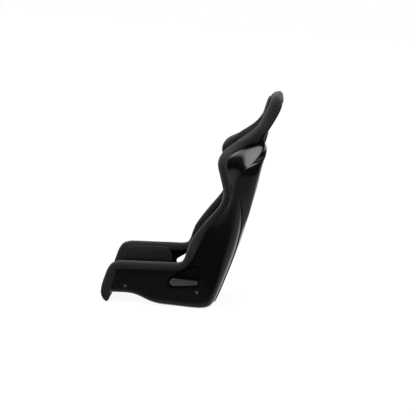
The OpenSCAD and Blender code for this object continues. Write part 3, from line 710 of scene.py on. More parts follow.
def ring(p, n, t, w, ro, ri, outer, inner, fe, wrinkle=None):
    """One cross-section of a roll: the plump C, its inner lip, the groove that holds the shell's edge, its outer lip."""
    n = unit(n - t * np.dot(n, t))
    e1 = unit(np.cross(n, t))
    c, b = (ro - ri - SHELL_T) / 2, (ro + ri + SHELL_T) / 2
    f0 = lip_f(GAP - c, b)
    f1 = min(math.radians(fe), 2 * math.pi - lip_f(-SHELL_T - GAP - c, b))
    f = f0 + (f1 - f0) * np.arange(1, ROUND) / ROUND
    k = np.ones_like(f) if wrinkle is None else wrinkle(f)
    body = p - e1 * (w * pwr(np.cos(f)) * k)[:, None] + n * (c + b * pwr(np.sin(f)) * k)[:, None]
    return np.vstack([outer[0], body, inner[0], inner[1], inner[2], outer[2], outer[1]])


def rim_ring(u, ro, ri, grow=1.0):
    w = float(np.interp(u, RW[:, 0], RW[:, 1]))
    lw = np.linalg.norm(sec(u, 3) - sec(u, 2.9)) / .1
    vo = max(1.9, 3 - lip_w(w, ro, ri, False) / lw)
    wi = min(lip_w(w, ro, ri, True), .7 * lw)
    vi = 3 - wi / lw
    ends = 3 + 2 * GAP / lw
    t = unit(sec(u + .03, 3) - sec(u - .03, 3))
    outer = np.array([off(u, x, -2.5 * GAP) for x in (vo, (vo + 3) / 2, ends)])
    inner = np.array([off(u, x, SHELL_T + 2.5 * GAP) for x in (vi, (vi + 3) / 2, ends)])
    fe = 360 - math.degrees(math.acos(min(1, wi / w) ** 1.3))
    return ring(sec(u, 3), nrm(u, 3), t, w * grow, ro * grow, ri * grow, outer, inner, fe)


def free_ring(p, n, t, w, ro, ri, gd, fe=360, g=GAP):
    m = unit(n - t * np.dot(n, t))
    e1 = unit(np.cross(m, t))
    wo = lip_w(w, ro, ri, False)
    wi = min(lip_w(w, ro, ri, True), w * max(.01, math.cos(math.radians(fe))) ** .77)
    ko, ki = max(gd + 1, wo), max(gd + 1, wi)
    outer = np.array([p - e1 * k + m * g for k in (ko, (ko + gd) / 2, gd)])
    inner = np.array([p - e1 * k - m * (SHELL_T + g) for k in (ki, (ki + gd) / 2, gd)])
    return ring(p, m, t, w, ro, ri, outer, inner, fe)


RO, RI, LEG_IN = 13.0, 25.0, 17.0
LEGP = np.array([[-304, 6, 6, 4, 290], [-308, 16, 14, 9, 290], [-312, 34, 19.5, 13, 290], [-312, 60, 19.5, 13, 296],
                 [-307, 84, 19.5, 9, 330], [-301, 108, 18.5, 9, 345], [-293, 132, 18.5, 8, 345], [-282, 148, 18.5, -6, 345]], float)


def leg_rings():
    out = []
    for i, q in enumerate(LEGP):
        a = LEGP[max(0, i - 1)]
        b = LEGP[i + 1] if i + 1 < len(LEGP) else [-262, 156]
        t = unit([0, b[0] - a[0], b[1] - a[1]])
        out.append(free_ring(np.array([B, q[0], q[1]]), np.array([1.0, 0, 0]), t, q[2], RO, LEG_IN, q[3], q[4]))
    return out


def span(u0, u1, ro, ri, ri1=None, step=.11):
    ri1 = ri if ri1 is None else ri1
    us = np.linspace(u0, u1, int(abs(u1 - u0) / step) + 2)
    return [rim_ring(float(u), ro, ri + (ri1 - ri) * (u - u0) / (u1 - u0)) for u in us]


def soften_ends(rings, amount=.8, length=5.0, first=True, last=True):
    """Draws the padding in by a little at a sewn end."""
    r = np.array(rings)
    mid = r[:, :].mean(1)
    s = np.concatenate([[0], np.cumsum(np.linalg.norm(np.diff(mid, axis=0), axis=1))])
    for k in range(len(r)):
        d = 1e9
        if first:
            d = min(d, s[k])
        if last:
            d = min(d, s[-1] - s[k])
        if d < length:
            pull = amount * (1 - math.sqrt(max(0, 1 - (1 - d / length) ** 2)))
            body = r[k, 1:ROUND]
            c = body.mean(0)
            v = body - c
            r[k, 1:ROUND] = c + v * (1 - pull / np.maximum(np.linalg.norm(v, axis=1), 1e-6))[:, None]
    return r


def cloth_relief(ob, seed, amount=.45, scale=22.0, keep=None):
    """Slow hand-laid unevenness of stretched cloth over foam, in millimetres."""
    co, n = coords(ob), normals(ob)
    for i, c in enumerate(co):
        v = Vector(c)
        a = noise.noise(v * scale + Vector((seed, 0, 0))) + .5 * noise.noise(v * scale * 2.7 + Vector((0, seed, 0)))
        k = 1.0 if keep is None else keep[i]
        co[i] = c + n[i] * a * amount * MM * k
    set_coords(ob, co)


def roll_piece(name, rings, node, mirror_name=None, mirror_node=None, seed=0.0):
    ob = loft(name, rings)
    m = ROUND + 5
    total = len(ob.data.vertices)
    idx = np.arange(total) % m
    keep = ((idx >= 3) & (idx <= ROUND - 3)).astype(float)
    cloth_relief(ob, seed, .30, 20.0, keep)
    sharp(ob, 55)
    if mirror_name:
        twin = mirrored(ob, mirror_name)
        sharp(twin, 55)
        done(twin, RIM, mirror_node)
    done(ob, RIM, node)
    return ob


def make_rolls():
    leg = spline(leg_rings() + span(.8, 2.0, RO, LEG_IN, step=.4), 150)
    leg = np.vstack([leg, np.array(span(2.0, 7.595, RO, LEG_IN))[1:]])
    # the free lower end is sewn shut over the foam
    leg = soften_ends(leg, 1.2, 2.5, last=False)
    leg = soften_ends(leg, .25, 2.2, first=False)
    roll_piece("rim_thigh_left", leg, "leg_roll_left", "rim_thigh_right", "leg_roll_right", 1.0)
    side = soften_ends(span(7.605, 16.195, RO, LEG_IN, RI - 4), .25, 2.2)
    roll_piece("rim_side_left", side, "side_roll_left", "rim_side_right", "side_roll_right", 2.0)
    shoulder = soften_ends(span(16.205, 24.195, RO, RI - 4, RI - 3), .25, 2.2)
    roll_piece("rim_shoulder_left", shoulder, "shoulder_roll_left", "rim_shoulder_right", "shoulder_roll_right", 3.0)
    head = span(24.205, 29.6, RO, RI - 3, 20)
    top = [free_ring(np.array(q, float), np.array([0, .95, .3]), unit([-1, 0, .06 if q[0] > 20 else 0]),
                     18.5 if q[0] > 20 else 17.5, RO - 6, 26, 5, 360, 1.5) for q in ([33, 324, 871], [16, 324, 872], [0, 324, 872])]
    flip = np.array([-1, 1, 1])
    coarse = [head[-9], head[-5], head[-1]] + top
    arc = spline(coarse + [r * flip for r in coarse[-2::-1]], 160)
    both = np.vstack([np.array(head[:-9]), arc, np.array([r * flip for r in head[:-9]])[::-1]])
    both = soften_ends(both, .25, 2.2)
    roll_piece("rim_head", both, "head_roll", seed=4.0)


# ------------------------------------------------------------------ cushions and pads
def inflate(ob, pins, pressure, cap, frames=20, keep_dir=None):
    """Cloth with inner pressure on ob; pins is a weight per vertex; no point moves further than cap (metres)."""
    start = coords(ob)
    g = ob.vertex_groups.new(name="pin")
    for i in np.nonzero(pins > .01)[0]:
        g.add([int(i)], float(min(1, pins[i])), "REPLACE")
    m = ob.modifiers.new("Cloth", "CLOTH")
    s = m.settings
    s.quality = 4
    s.mass = .3
    s.tension_stiffness = s.compression_stiffness = 12
    s.shear_stiffness = 6
    s.bending_stiffness = .6
    s.use_pressure = True
    s.uniform_pressure_force = pressure
    s.effector_weights.gravity = 0
    s.vertex_group_mass = "pin"
    m.collision_settings.use_collision = False
    m.collision_settings.use_self_collision = False
    m.point_cache.frame_start, m.point_cache.frame_end = 1, frames
    for f in range(1, frames + 1):
        scene.frame_set(f)
    dg = bpy.context.evaluated_depsgraph_get()
    me = ob.evaluated_get(dg).to_mesh()
    end = np.empty(len(me.vertices) * 3)
    me.vertices.foreach_get("co", end)
    end = end.reshape(-1, 3)
    ob.evaluated_get(dg).to_mesh_clear()
    ob.modifiers.clear()
    ob.vertex_groups.clear()
    scene.frame_set(1)
    move = end - start
    d = np.linalg.norm(move, axis=1, keepdims=True)
    # the cap is soft: long moves run out towards it
    move = move / np.maximum(d, 1e-9) * cap * np.tanh(d / cap)
    set_coords(ob, start + move)


def sample(g, ab):
    """Points of a grid (n, m, 3) at fractions (a, b)."""
    n, m = g.shape[:2]
    ab = np.clip(np.asarray(ab, float), 0, 1)
    x, y = ab[:, 0] * (n - 1), ab[:, 1] * (m - 1)
    i, j = np.minimum(x.astype(int), n - 2), np.minimum(y.astype(int), m - 2)
    fx, fy = (x - i)[:, None], (y - j)[:, None]
    return g[i, j] * (1 - fx) * (1 - fy) + g[i + 1, j] * fx * (1 - fy) + g[i, j + 1] * (1 - fx) * fy + g[i + 1, j + 1] * fx * fy


def dense(points, step=1.5, closed=False):
    p = np.asarray(points, float)
    if closed:
        p = np.vstack([p, p[0]])
    s = np.concatenate([[0], np.cumsum(np.linalg.norm(np.diff(p, axis=0), axis=1))])
    k = max(2, int(s[-1] / step) + 1)
    w = np.linspace(0, s[-1], k)
    out = np.stack([np.interp(w, s, p[:, j]) for j in range(p.shape[1])], 1)
    return out[:-1] if closed else out


def frame_path(a0, a1, b0, b1, ra, rb, count=24):
    """A rounded rectangle in the (a, b) plane of a face."""
    q = np.linspace(0, math.pi / 2, 9)
    pts = []
    for ca, cb, s in ((a1 - ra, b1 - rb, 0), (a0 + ra, b1 - rb, 1), (a0 + ra, b0 + rb, 2), (a1 - ra, b0 + rb, 3)):
        for t in q:
            w = t + s * math.pi / 2
            pts.append((ca + ra * math.cos(w), cb + rb * math.sin(w)))
    pts.append(pts[0])
    pts = np.array(pts)
    out = []
    for p, r in zip(pts[:-1], pts[1:]):
        for k in range(6):
            out.append(p + (r - p) * k / 6)
    return np.array(out)


def tube(name, path, radius, closed=True, sides=10):
    """A round tube in millimetres along a path."""
    p = np.asarray(path, float)
    n = len(p)
    if closed:
        t = unit(np.roll(p, -1, 0) - np.roll(p, 1, 0))
    else:
        t = unit(np.gradient(p, axis=0))
    ref = unit(np.cross(t[0], [0.31, 0.52, 0.8]))
    rings = []
    for k in range(n):
        ref = unit(ref - t[k] * np.dot(ref, t[k]))
        side = np.cross(t[k], ref)
        q = np.linspace(0, 2 * math.pi, sides, endpoint=False)
        rings.append(p[k] + radius * (np.cos(q)[:, None] * ref + np.sin(q)[:, None] * side))
    return loft(name, rings, closed=closed)


def on_surface(tree, points, lift=0.0):
    """Points dropped on a surface (millimetres), with its normals."""
    out, nn = [], []
    for p in points:
        q, n, _, _ = tree.find_nearest(Vector(p * MM))
        out.append(np.array(q) / MM + np.array(n) * lift)
        nn.append(np.array(n))
    return np.array(out), np.array(nn)


def stitches(name, tree, lines, side=2.6, pitch=5.2, length=3.6, radius=.36):
    """Thread stitches that lie on the surface along lines, as one mesh."""
    verts, quads, base = [], [], 0
    q = np.linspace(0, 2 * math.pi, 6, endpoint=False)
    for line, closed in lines:
        p, n = on_surface(tree, dense(line, 1.0, closed))
        for _ in range(3):
            n = unit(n + np.roll(n, 1, 0) + np.roll(n, -1, 0)) if closed else unit(np.vstack([n[:1], n[1:-1] + n[:-2] + n[2:], n[-1:]]))
        s = np.concatenate([[0], np.cumsum(np.linalg.norm(np.diff(p, axis=0), axis=1))])
        t = unit(np.gradient(p, axis=0))
        for off_side in (side if isinstance(side, (tuple, list)) else (-side, side)):
            at = 3.0
            while at < s[-1] - 3.0:
                w = [at, at + length * .2, at + length * .5, at + length * .8, at + length]
                rad = [.25, .95, 1.0, .95, .25]
                lift = [-.25, .2, .32, .2, -.25]
                for k in range(5):
                    c = np.array([np.interp(w[k], s, p[:, j]) for j in range(3)])
                    tt = unit(np.array([np.interp(w[k], s, t[:, j]) for j in range(3)]))
                    nn = unit(np.array([np.interp(w[k], s, n[:, j]) for j in range(3)]))
                    e = unit(np.cross(tt, nn))
                    c = c + e * off_side
                    if k == 0:
                        hit, hn, _, _ = tree.find_nearest(Vector(c * MM))
                        drop = np.array(hit) / MM - c
                    c = c + drop + nn * lift[k]
                    verts.append(c + radius * rad[k] * (np.cos(q)[:, None] * e + np.sin(q)[:, None] * nn))
                for k in range(4):
                    for j in range(6):
                        quads.append((base + k * 6 + j, base + k * 6 + (j + 1) % 6, base + (k + 1) * 6 + (j + 1) % 6, base + (k + 1) * 6 + j))
                quads.append((base + 3, base + 2, base + 1, base))
                quads.append((base + 5, base + 4, base + 3, base))
                quads.append((base + 24, base + 25, base + 26, base + 27))
                quads.append((base + 24, base + 27, base + 28, base + 29))
                base += 30
                at += pitch
    return make(name, np.vstack(verts), quads)


def pad(name, node, back, front, seams, outline, mat=None, voxel=5.0, cap=6.0, pressure=4.0,
        shrink=1.6, groove=3.0, holes=(), rest=True, twin=None, seed=0.0, extra_pins=None, pipe=1.7, rows=None):
    """A stuffed cushion between the grid it rests on (back) and its face (front), in millimetres.
    seams are lines on the face in fractions; outline is the piped edge."""
    mat = mat or CUSHION
    ob = between(name, back, front)
    if holes:
        cut(ob, holes)
    m = ob.modifiers.new("r", "REMESH")
    m.mode, m.voxel_size, m.use_smooth_shade = "VOXEL", voxel * MM, True
    m.adaptivity = 0.0
    apply_all(ob)
    lines = [(dense(sample(front, s), 1.5, c), c) for s, c in seams]
    rim_line = dense(sample(front, outline), 1.5, True) if outline is not None else None
    seam_pts = np.vstack([p for p, _ in lines]) if lines else np.zeros((0, 3))
    kd = KDTree(max(1, len(seam_pts)))
    for i, p in enumerate(seam_pts):
        kd.insert(Vector(p * MM), i)
    kd.balance()
    fkd = KDTree(front.shape[0] * front.shape[1])
    for i, p in enumerate(front.reshape(-1, 3)):
        fkd.insert(Vector(p * MM), i)
    fkd.balance()
    bkd = KDTree(back.shape[0] * back.shape[1])
    for i, p in enumerate(back.reshape(-1, 3)):
        bkd.insert(Vector(p * MM), i)
    bkd.balance()
    inward = unit(back - front).reshape(-1, 3)
    co, nn = coords(ob), normals(ob)
    co = co - nn * shrink * MM
    pins = np.zeros(len(co))
    for i, c in enumerate(co):
        v = Vector(c)
        _, fi, df = fkd.find(v)
        _, _, db = bkd.find(v)
        if rest and db < df:
            pins[i] = 1.0 if db < .006 else .4
        if len(seam_pts):
            _, _, ds = kd.find(v)
            if ds < .016 and df < db:
                pins[i] = max(pins[i], 1 - smooth(ds, .003, .008))
                co[i] = c + inward[fi] * groove * MM * math.exp(-(ds / .0055) ** 2)
    if extra_pins is not None:
        pins = np.maximum(pins, extra_pins(co / MM))
    set_coords(ob, co)
    inflate(ob, pins, pressure, cap * MM)
    sub = ob.modifiers.new("s", "SUBSURF")
    sub.levels = sub.render_levels = 1
    apply_all(ob)
    # after the swelling: the needle line, and the gathers that run away from it
    co, nn = coords(ob), normals(ob)
    if len(seam_pts):
        for i, c in enumerate(co):
            v = Vector(c)
            _, si, ds = kd.find(v)
            if ds < .02:
                _, fi, df = fkd.find(v)
                gather = .55 * math.exp(-ds / .007) * (noise.noise(Vector((si * 1.5 / 9.0, seed, 0))) + .6 * noise.noise(Vector((si * 1.5 / 4.0, seed, 3))))
                line = -1.3 * math.exp(-(ds / .0016) ** 2)
                co[i] = c + nn[i] * (gather * (ds > .0008) + line) * MM
    for i, c in enumerate(co):
        v = Vector(c)
        co[i] = co[i] + nn[i] * MM * (.45 * noise.noise(v * 17 + Vector((seed, 1, 2))) + .22 * noise.noise(v * 48 + Vector((3, seed, 2))))
    set_coords(ob, co)
    ob.data.shade_smooth()
    made = [ob]
    tree = tree_of(ob)
    stitch_lines = list(lines)
    extras = []
    if rim_line is not None and pipe:
        p, n = on_surface(tree, spline(rim_line[::6], max(60, len(rim_line) // 2), closed=True), .35)
        extras.append((tube(name + "_piping", p, pipe), PIPE if pipe > 1 else mat))
    if stitch_lines and rows != ():
        extras.append((stitches(name + "_stitches", tree, stitch_lines, side=rows or 2.6), THREAD))
    if twin:
        t_ob = mirrored(ob, twin[0])
        done(t_ob, mat, twin[1])
        for e, em in extras:
            te = mirrored(e, e.name.replace(name, twin[0]))
            done(te, em)
    done(ob, mat, node)
    for e, em in extras:
        done(e, em)
    return ob


def patch_grid(u0, u1, v0, v1, nu, nv, lo, hi, edge, p):
    a, b = np.meshgrid(np.linspace(0, 1, nu), np.linspace(0, 1, nv), indexing="ij")
    u, v = u0 + (u1 - u0) * a, v0 + (v1 - v0) * b
    back = off(u, v, np.full(u.shape, lo))
    front = off(u, v, lo + (hi - lo) * (edge + (1 - edge) * dome(a, p) * dome(b, p)))
    return back, front


def line(a0, b0, a1, b1, n=30):
    t = np.linspace(0, 1, n)[:, None]
    return np.array([a0, b0]) * (1 - t) + np.array([a1, b1]) * t


def floor_z(y):
    return np.interp(y, [-330, -262, -206, -170, -150, -128, -108, -80, -50, 10, 70], [45.6, 48, 48.4, 38, 29.5, 19, 12.6, 10.2, 9.4, 7.8, 7]) + 3


def top_z(y, x):
    base = spline(np.array([[-296, 76], [-288, 81], [-270, 86], [-240, 87], [-200, 82], [-150, 62], [-108, 43], [-60, 33],
                            [0, 30], [46, 29], [64, 27]], float), 120)
    return np.interp(y, base[:, 0], base[:, 1]) - np.interp(y, [-120, -70], [12, 4]) * np.abs(x) ** 6 - 2 * (1 - np.abs(x))


def make_base_cushion():
    ys = np.linspace(-296, 64, 70)
    k = np.linspace(-1, 1, 61)
    xs = np.sign(k) * (1 - (1 - np.abs(k)) ** 1.3)
    y, x = np.meshgrid(ys, xs, indexing="ij")
    back = np.stack([x * 176, y, floor_z(y)], -1)
    front = np.stack([x * 176, y, top_z(y, x)], -1)
    o = CROTCH.at(2)
    hole = loft("c", [np.stack([o[:, 0], o[:, 1], np.full(len(o), z)], 1) for z in (-5, 130)])
    o = CROTCH.at(9)
    foot = loft("c", [np.stack([o[:, 0], o[:, 1], np.full(len(o), z)], 1) for z in (-1, 15.5)])

    def a_of(yy):
        return (yy + 296) / 360

    def b_of(xx):
        q = abs(xx) / 176
        kk = 1 - (1 - q) ** (1 / 1.3)
        return .5 + math.copysign(kk, xx) / 2

    seams = []
    for s in (-1, 1):
        seams.append((line(a_of(-292), b_of(s * 112), a_of(40), b_of(s * 112), 60), False))
    for yy in (-236, -178, -120, 2):
        seams.append((line(a_of(yy), b_of(-111), a_of(yy), b_of(111), 50), False))
    seams.append((frame_path(a_of(-52 - 28), a_of(-52 + 28), b_of(-53), b_of(53), .035, .06), True))
    outline = frame_path(.035, .965, b_of(-170), b_of(170), .05, .05)

    def pins(p):
        d = np.hypot(np.maximum(np.abs(p[:, 0]) - 25, 0), p[:, 1] - CY) - 19
        return np.where((d < 5), 1.0, 0.0)

    pad("seat_base", "base_cushion", back, front, seams, outline, voxel=4.0, cap=3.5, pressure=4, shrink=1.0,
        holes=[hole, foot], extra_pins=pins, seed=5.0, groove=2.6)


def make_cushions():
    make_base_cushion()
    back, front = patch_grid(10.3, 13.3, -.86, .86, 40, 44, 14.4, 44, .25, 4)
    pad("seat_lumbar", "lumbar_cushion", back, front,
        [(line(.5, .07, .5, .93, 50), False), (line(.1, .22, .9, .22, 40), False), (line(.1, .78, .9, .78, 40), False)],
        frame_path(.05, .95, .05, .95, .12, .09), cap=4.0, seed=6.0, groove=3.5)
    back, front = patch_grid(13.5, 19.3, -.84, .84, 64, 44, 14.4, 36, .35, 6)
    pad("seat_back", "back_cushion", back, front,
        [(line(a, .2, a, .8, 50), False) for a in (.2, .4, .6, .8)] + [(line(.06, b, .94, b, 60), False) for b in (.19, .81)],
        frame_path(.03, .97, .045, .955, .07, .09), cap=4.0, seed=7.0, groove=3.2)
    # head cushion, from its profile
    hp = spline(np.array([[286, 768, 268, 767, 60, 58], [288, 775, 255, 774, 62, 64], [294, 785, 252.5, 785, 62, 65],
                          [301.5, 805, 258.5, 806, 60, 65], [309, 826, 263.5, 829, 54, 65], [311, 837, 267, 846, 42, 65],
                          [308, 842, 271, 858, 32, 63], [286, 848, 274, 865, 46, 60], [283, 859, 280, 866.5, 52, 54]], float), 46)
    k = np.linspace(-1, 1, 41)
    x = k[None, :]
    kk = .35 + .65 * np.sqrt(np.maximum(0, 1 - np.abs(x) ** 9))
    h = hp[:, None, :]
    back = np.stack([h[..., 4] * x, np.broadcast_to(h[..., 0], (46, 41)), np.broadcast_to(h[..., 1], (46, 41))], -1)
    front = np.stack([(h[..., 4] + (h[..., 5] - h[..., 4]) * kk) * x, h[..., 0] + (h[..., 2] - h[..., 0]) * kk,
                      h[..., 1] + (h[..., 3] - h[..., 1]) * kk], -1)
    pad("seat_head", "head_cushion", back, front, [(frame_path(.2, .78, .16, .84, .1, .1), True)],
        frame_path(.07, .93, .04, .96, .08, .1), voxel=4.0, cap=2.5, seed=8.0, groove=1.6, shrink=1.2, pipe=.8)
    # thigh pads
    a, t = np.meshgrid(np.linspace(0, 1, 64), np.linspace(0, 1, 26), indexing="ij")
    lo = 90 + 10 * a ** 3
    hi = 154 + 8 * ease(a * 5) + 8 * a - 54 * (1 - np.sqrt(1 - (np.maximum(0, (a - .83) / .17) * .98) ** 2))
    z = lo + (hi - lo) * t
    y = -295 + 215 * a + 14 * t * (1 - a)
    px = np.minimum(np.interp(z, [90, 133, 137, 141, 146, 152, 170], [189.4, 189.4, 187, 184, 181.6, 180.2, 180]),
                    np.interp(y, [-290, -272, -262, -80], [180, 180.2, 189.4, 189.4]))
    face = np.minimum(px - 3, B - 13.6 - 22 * (.35 + .65 * dome(a, 6) * dome(t, 4)))
    pad("pad_thigh_left", "thigh_pad_left", np.stack([px, y, z], -1), np.stack([face, y, z], -1),
        [], frame_path(.03, .96, .06, .93, .1, .3), voxel=3.5, cap=3.0,
        seed=9.0, shrink=.9, pipe=.7, twin=("pad_thigh_right", "thigh_pad_right"))
    a, b = np.meshgrid(np.linspace(0, 1, 54), np.linspace(0, 1, 30), indexing="ij")
    u = 16.2 + 5.2 * a
    v = 2.1 + (3 - 20 / (np.linalg.norm(sec(u, 3) - sec(u, 2.9), axis=-1) / .1) - 2.1) * b
    back = off(u, v, np.full(u.shape, 13.0))
    front = off(u, v, 13 + 21 * (.3 + .7 * dome(a, 4) * dome(b, 4)))
    pad("pad_shoulder_left", "shoulder_pad_left", back, front, [],
        frame_path(.045, .955, .08, .92, .12, .2), voxel=4.0, cap=2.5, seed=10.0, shrink=1.0, pipe=.7,
        twin=("pad_shoulder_right", "shoulder_pad_right"))
    # front lip
    prof = spline(np.array([[-304, 2], [-315, 12], [-325, 30], [-330, 52], [-330, 64], [-327, 75], [-321, 82], [-312, 85],
                            [-304, 82], [-299, 75], [-298, 58], [-298, 36], [-295, 22], [-297, 8]], float), 72, closed=True)
    xs = np.linspace(-180, 180, 90)
    ob = loft("pad_front_lip", [np.stack([np.full(72, x), prof[:, 0], prof[:, 1]], 1) for x in xs])
    m = ob.modifiers.new("r", "REMESH")
    m.mode, m.voxel_size, m.use_smooth_shade = "VOXEL", .005, True
    apply_all(ob)
    co, n = coords(ob), normals(ob)
    co -= n * .0012
    pins = (co[:, 1] > -.302).astype(float)
    for x in (-.11, .11):
        d = np.abs(co[:, 0] - x)
        pins = np.maximum(pins, 1 - smooth(d, .002, .007))
        co = co - n * (.002 * np.exp(-(d / .005) ** 2) * (co[:, 1] < -.302))[:, None]
    set_coords(ob, co)
    inflate(ob, pins, 4.0, .003)
    sub = ob.modifiers.new("s", "SUBSURF")
    sub.levels = sub.render_levels = 1
    apply_all(ob)
    cloth_relief(ob, 11.0, .4, 18.0)
    ob.data.shade_smooth()
    tree = tree_of(ob)
    lines = []
    for x in (-110, 110):
        lines.append((np.stack([np.full(30, x), np.interp(np.linspace(0, 1, 30), [0, .2, .5, .75, 1], [-309, -326, -331, -328, -315]),
                                np.interp(np.linspace(0, 1, 30), [0, .2, .5, .75, 1], [6, 28, 54, 75, 85])], 1), False))
    done(stitches("pad_front_lip_stitches", tree, lines), THREAD)
    done(ob, RIM, "front_lip_pad")


# ------------------------------------------------------------------ linings and hook tape
def lining(name, node, u0, u1, v0, v1, nu, nv, lo, hi, edge, p, seed, twin=None, hem=True):
    back, front = patch_grid(u0, u1, v0, v1, nu, nv, lo, hi, edge, p)
    ob = between(name, back, front)
    cloth_relief(ob, seed, .3, 24.0)
    sharp(ob, 60)
    extras = []
    if hem:
        tree = tree_of(ob)
        f = frame_path(.03, .97, .05, .95, .05, .08)
        extras.append(stitches(name + "_stitches", tree, [(dense(sample(front, f), 1.5, True), True)], side=(0.0,), pitch=6.0))
    if twin:
        t = mirrored(ob, twin[0])
        sharp(t, 60)
        done(t, LINING, twin[1])
        for e in extras:
            done(mirrored(e, e.name.replace(name, twin[0])), THREAD)
    done(ob, LINING, node)
    for e in extras:
        done(e, THREAD)


def make_linings():
    lining("lining_side_left", "side_lining_left", 9.6, 21.9, 2.04, 2.66, 160, 26, SHELL_T + 1, SHELL_T + LINING_T, .5, 8, 12.0,
           ("lining_side_right", "side_lining_right"))
    lining("lining_back", "back_lining", 9.3, 21.3, -.95, .95, 130, 56, SHELL_T + 1, SHELL_T + LINING_T, .5, 12, 13.0)
    lining("lining_head", "head_lining", 24.6, 27.6, -.78, .78, 40, 40, SHELL_T + .8, SHELL_T + LINING_T, .5, 12, 14.0)
    y, z = np.meshgrid(np.linspace(-270, -82, 80), np.linspace(72, 133, 30), indexing="ij")
    e = np.minimum(np.minimum(y + 270, -82 - y), np.minimum(z - 72, 133 - z))
    t = LINING_T * (.5 + .5 * np.sqrt(1 - (1 - np.clip(e / 6, 0, 1)) ** 2))
    ob = between("lining_pan_left", np.stack([np.full(y.shape, B - SHELL_T - 1), y, z], -1), np.stack([B - SHELL_T - t, y, z], -1))
    c = np.array([[-17, -24], [17, -24], [17, 24], [-17, 24]], float)
    cut(ob, [loft("c", [np.stack([np.full(4, x), -236 + c[:, 0], 72 + c[:, 1]], 1) for x in (B - 30, B + 10)])])
    cloth_relief(ob, 15.0, .2, 24.0)
    sharp(ob, 60)
    twin = mirrored(ob, "lining_pan_right")
    sharp(twin, 60)
    done(twin, LINING, "pan_lining_right")
    done(ob, LINING, "pan_lining_left")
    # hook-and-loop strips, gathered by the cushion they hold
    parts = []
    for x0 in (-110, 60):
        yy, xx = np.meshgrid(np.linspace(-34, 50, 40), np.linspace(0, 50, 16), indexing="ij")
        parts.append((np.stack([x0 + xx, yy, floor_z(yy) - 2.6], -1), np.stack([x0 + xx, yy, floor_z(yy) - 1.0], -1)))
    strips("tape_base", "base_hook_strips", parts)
    lo, hi = SHELL_T + LINING_T + .5, SHELL_T + LINING_T + 1.9
    sides = ((.35, .65), (-.65, -.35))
    strips("tape_back", "back_hook_strips", [patch_grid(a, b, c, d, 40, 12, lo, hi, 1, 2) for a, b in ((10.8, 12.8), (14.2, 18.6)) for c, d in sides])
    strips("tape_head", "head_hook_strips", [patch_grid(25.7, 27.3, c, d, 24, 12, lo, hi, 1, 2) for c, d in ((.3, .6), (-.6, -.3))])


def strips(name, node, parts):
    obs = [between(name + str(i), a, b) for i, (a, b) in enumerate(parts)]
    bm = bmesh.new()
    for o in obs:
        bm.from_mesh(o.data)
    me = bpy.data.meshes.new(name)
    bm.to_mesh(me)
    bm.free()
    for o in obs:
        bpy.data.objects.remove(o)
    me.shade_smooth()
    ob = bpy.data.objects.new(name, me)
    scene.collection.objects.link(ob)
    sharp(ob, 50)
    done(ob, HOOK, node)


# ------------------------------------------------------------------ slot trims and bezels
def rounded(points, radii, steps=6):
    """A closed outline with its corners rounded."""
    p = np.asarray(points, float)
    out = []
    n = len(p)
    for i in range(n):
        a, b, c = p[i - 1], p[i], p[(i + 1) % n]
        r = radii[i]
        if r <= 0:
            out.append(b)
            continue
        d0, d1 = unit(a - b), unit(c - b)
        for k in range(steps + 1):
            t = k / steps
            s, e = b + d0 * r, b + d1 * r
            out.append((1 - t) ** 2 * s + 2 * t * (1 - t) * b + t * t * e)
    return np.array(out)


def make_trims():
    # C of rubber: (how far in from the outline, depth into the wall)
    prof = rounded([(0, -.7), (0, -3.2), (10, -3.2), (10, 8.2), (0, 8.2), (0, 5.7), (5.6, 5.7), (5.6, -.7)],
                   [.6, 1.3, 4.2, 4.2, 1.3, .6, .4, .4])
    k = len(LAP.t)
    rings = np.zeros((k, len(prof), 3))
    for j, (s, o) in enumerate(prof):
        yz = LAP.at(-s)
        u, v = uv_at(yz[:, 0], yz[:, 1])
        rings[:, j] = sec(u, v) - nrm(u, v) * o
    ob = loft("trim_lap_left", rings, closed=True)
    sharp(ob, 50)
    twin = mirrored(ob, "trim_lap_right")
    sharp(twin, 50)
    done(ob, RUBBER, "lap_slot_trim_left")
    done(twin, RUBBER, "lap_slot_trim_right")
    prof = rounded([(-4, -5.6), (4.5, -5.6), (4.5, -3.0), (-.5, -3.0), (-.5, 11.4), (-4, 11.4)], [2.0, 1.2, .5, .3, .8, .8])
    for side, word in ((1, "left"), (-1, "right")):
        ob = loft("bezel_harness_" + word, np.stack([harness_at(side, HARNESS.at(g), h) for g, h in prof], 1), closed=True)
        sharp(ob, 50)
        done(ob, PLASTIC, "harness_bezel_" + word)
    prof = rounded([(-3.5, 12.8), (6, 12.8), (6, 10.4), (-.5, 10.4), (-.5, 1), (-3.5, 1)], [1.6, 1.2, .4, .3, .6, .6])
    rings = []
    for g, h in prof:
        o = CROTCH.at(g)
        rings.append(np.stack([o[:, 0], o[:, 1], np.full(len(o), h)], 1))
    ob = loft("bezel_crotch", np.stack(rings, 1), closed=True)
    sharp(ob, 50)
    done(ob, PLASTIC, "crotch_slot_trim")


# ------------------------------------------------------------------ build
make_shell()
make_panel()
make_rolls()
make_cushions()
make_linings()
make_trims()
for node_name, metal in (("mount_inserts", INSERT), ("insert_plates", PLATE)):
    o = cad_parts[node_name]
    o.data.materials.clear()
    o.data.materials.append(metal)

# ------------------------------------------------------------------ studio
scene.view_settings.view_transform = "Standard"
scene.view_settings.look = "None"
scene.view_settings.exposure = 0.0
scene.view_settings.gamma = 1.0

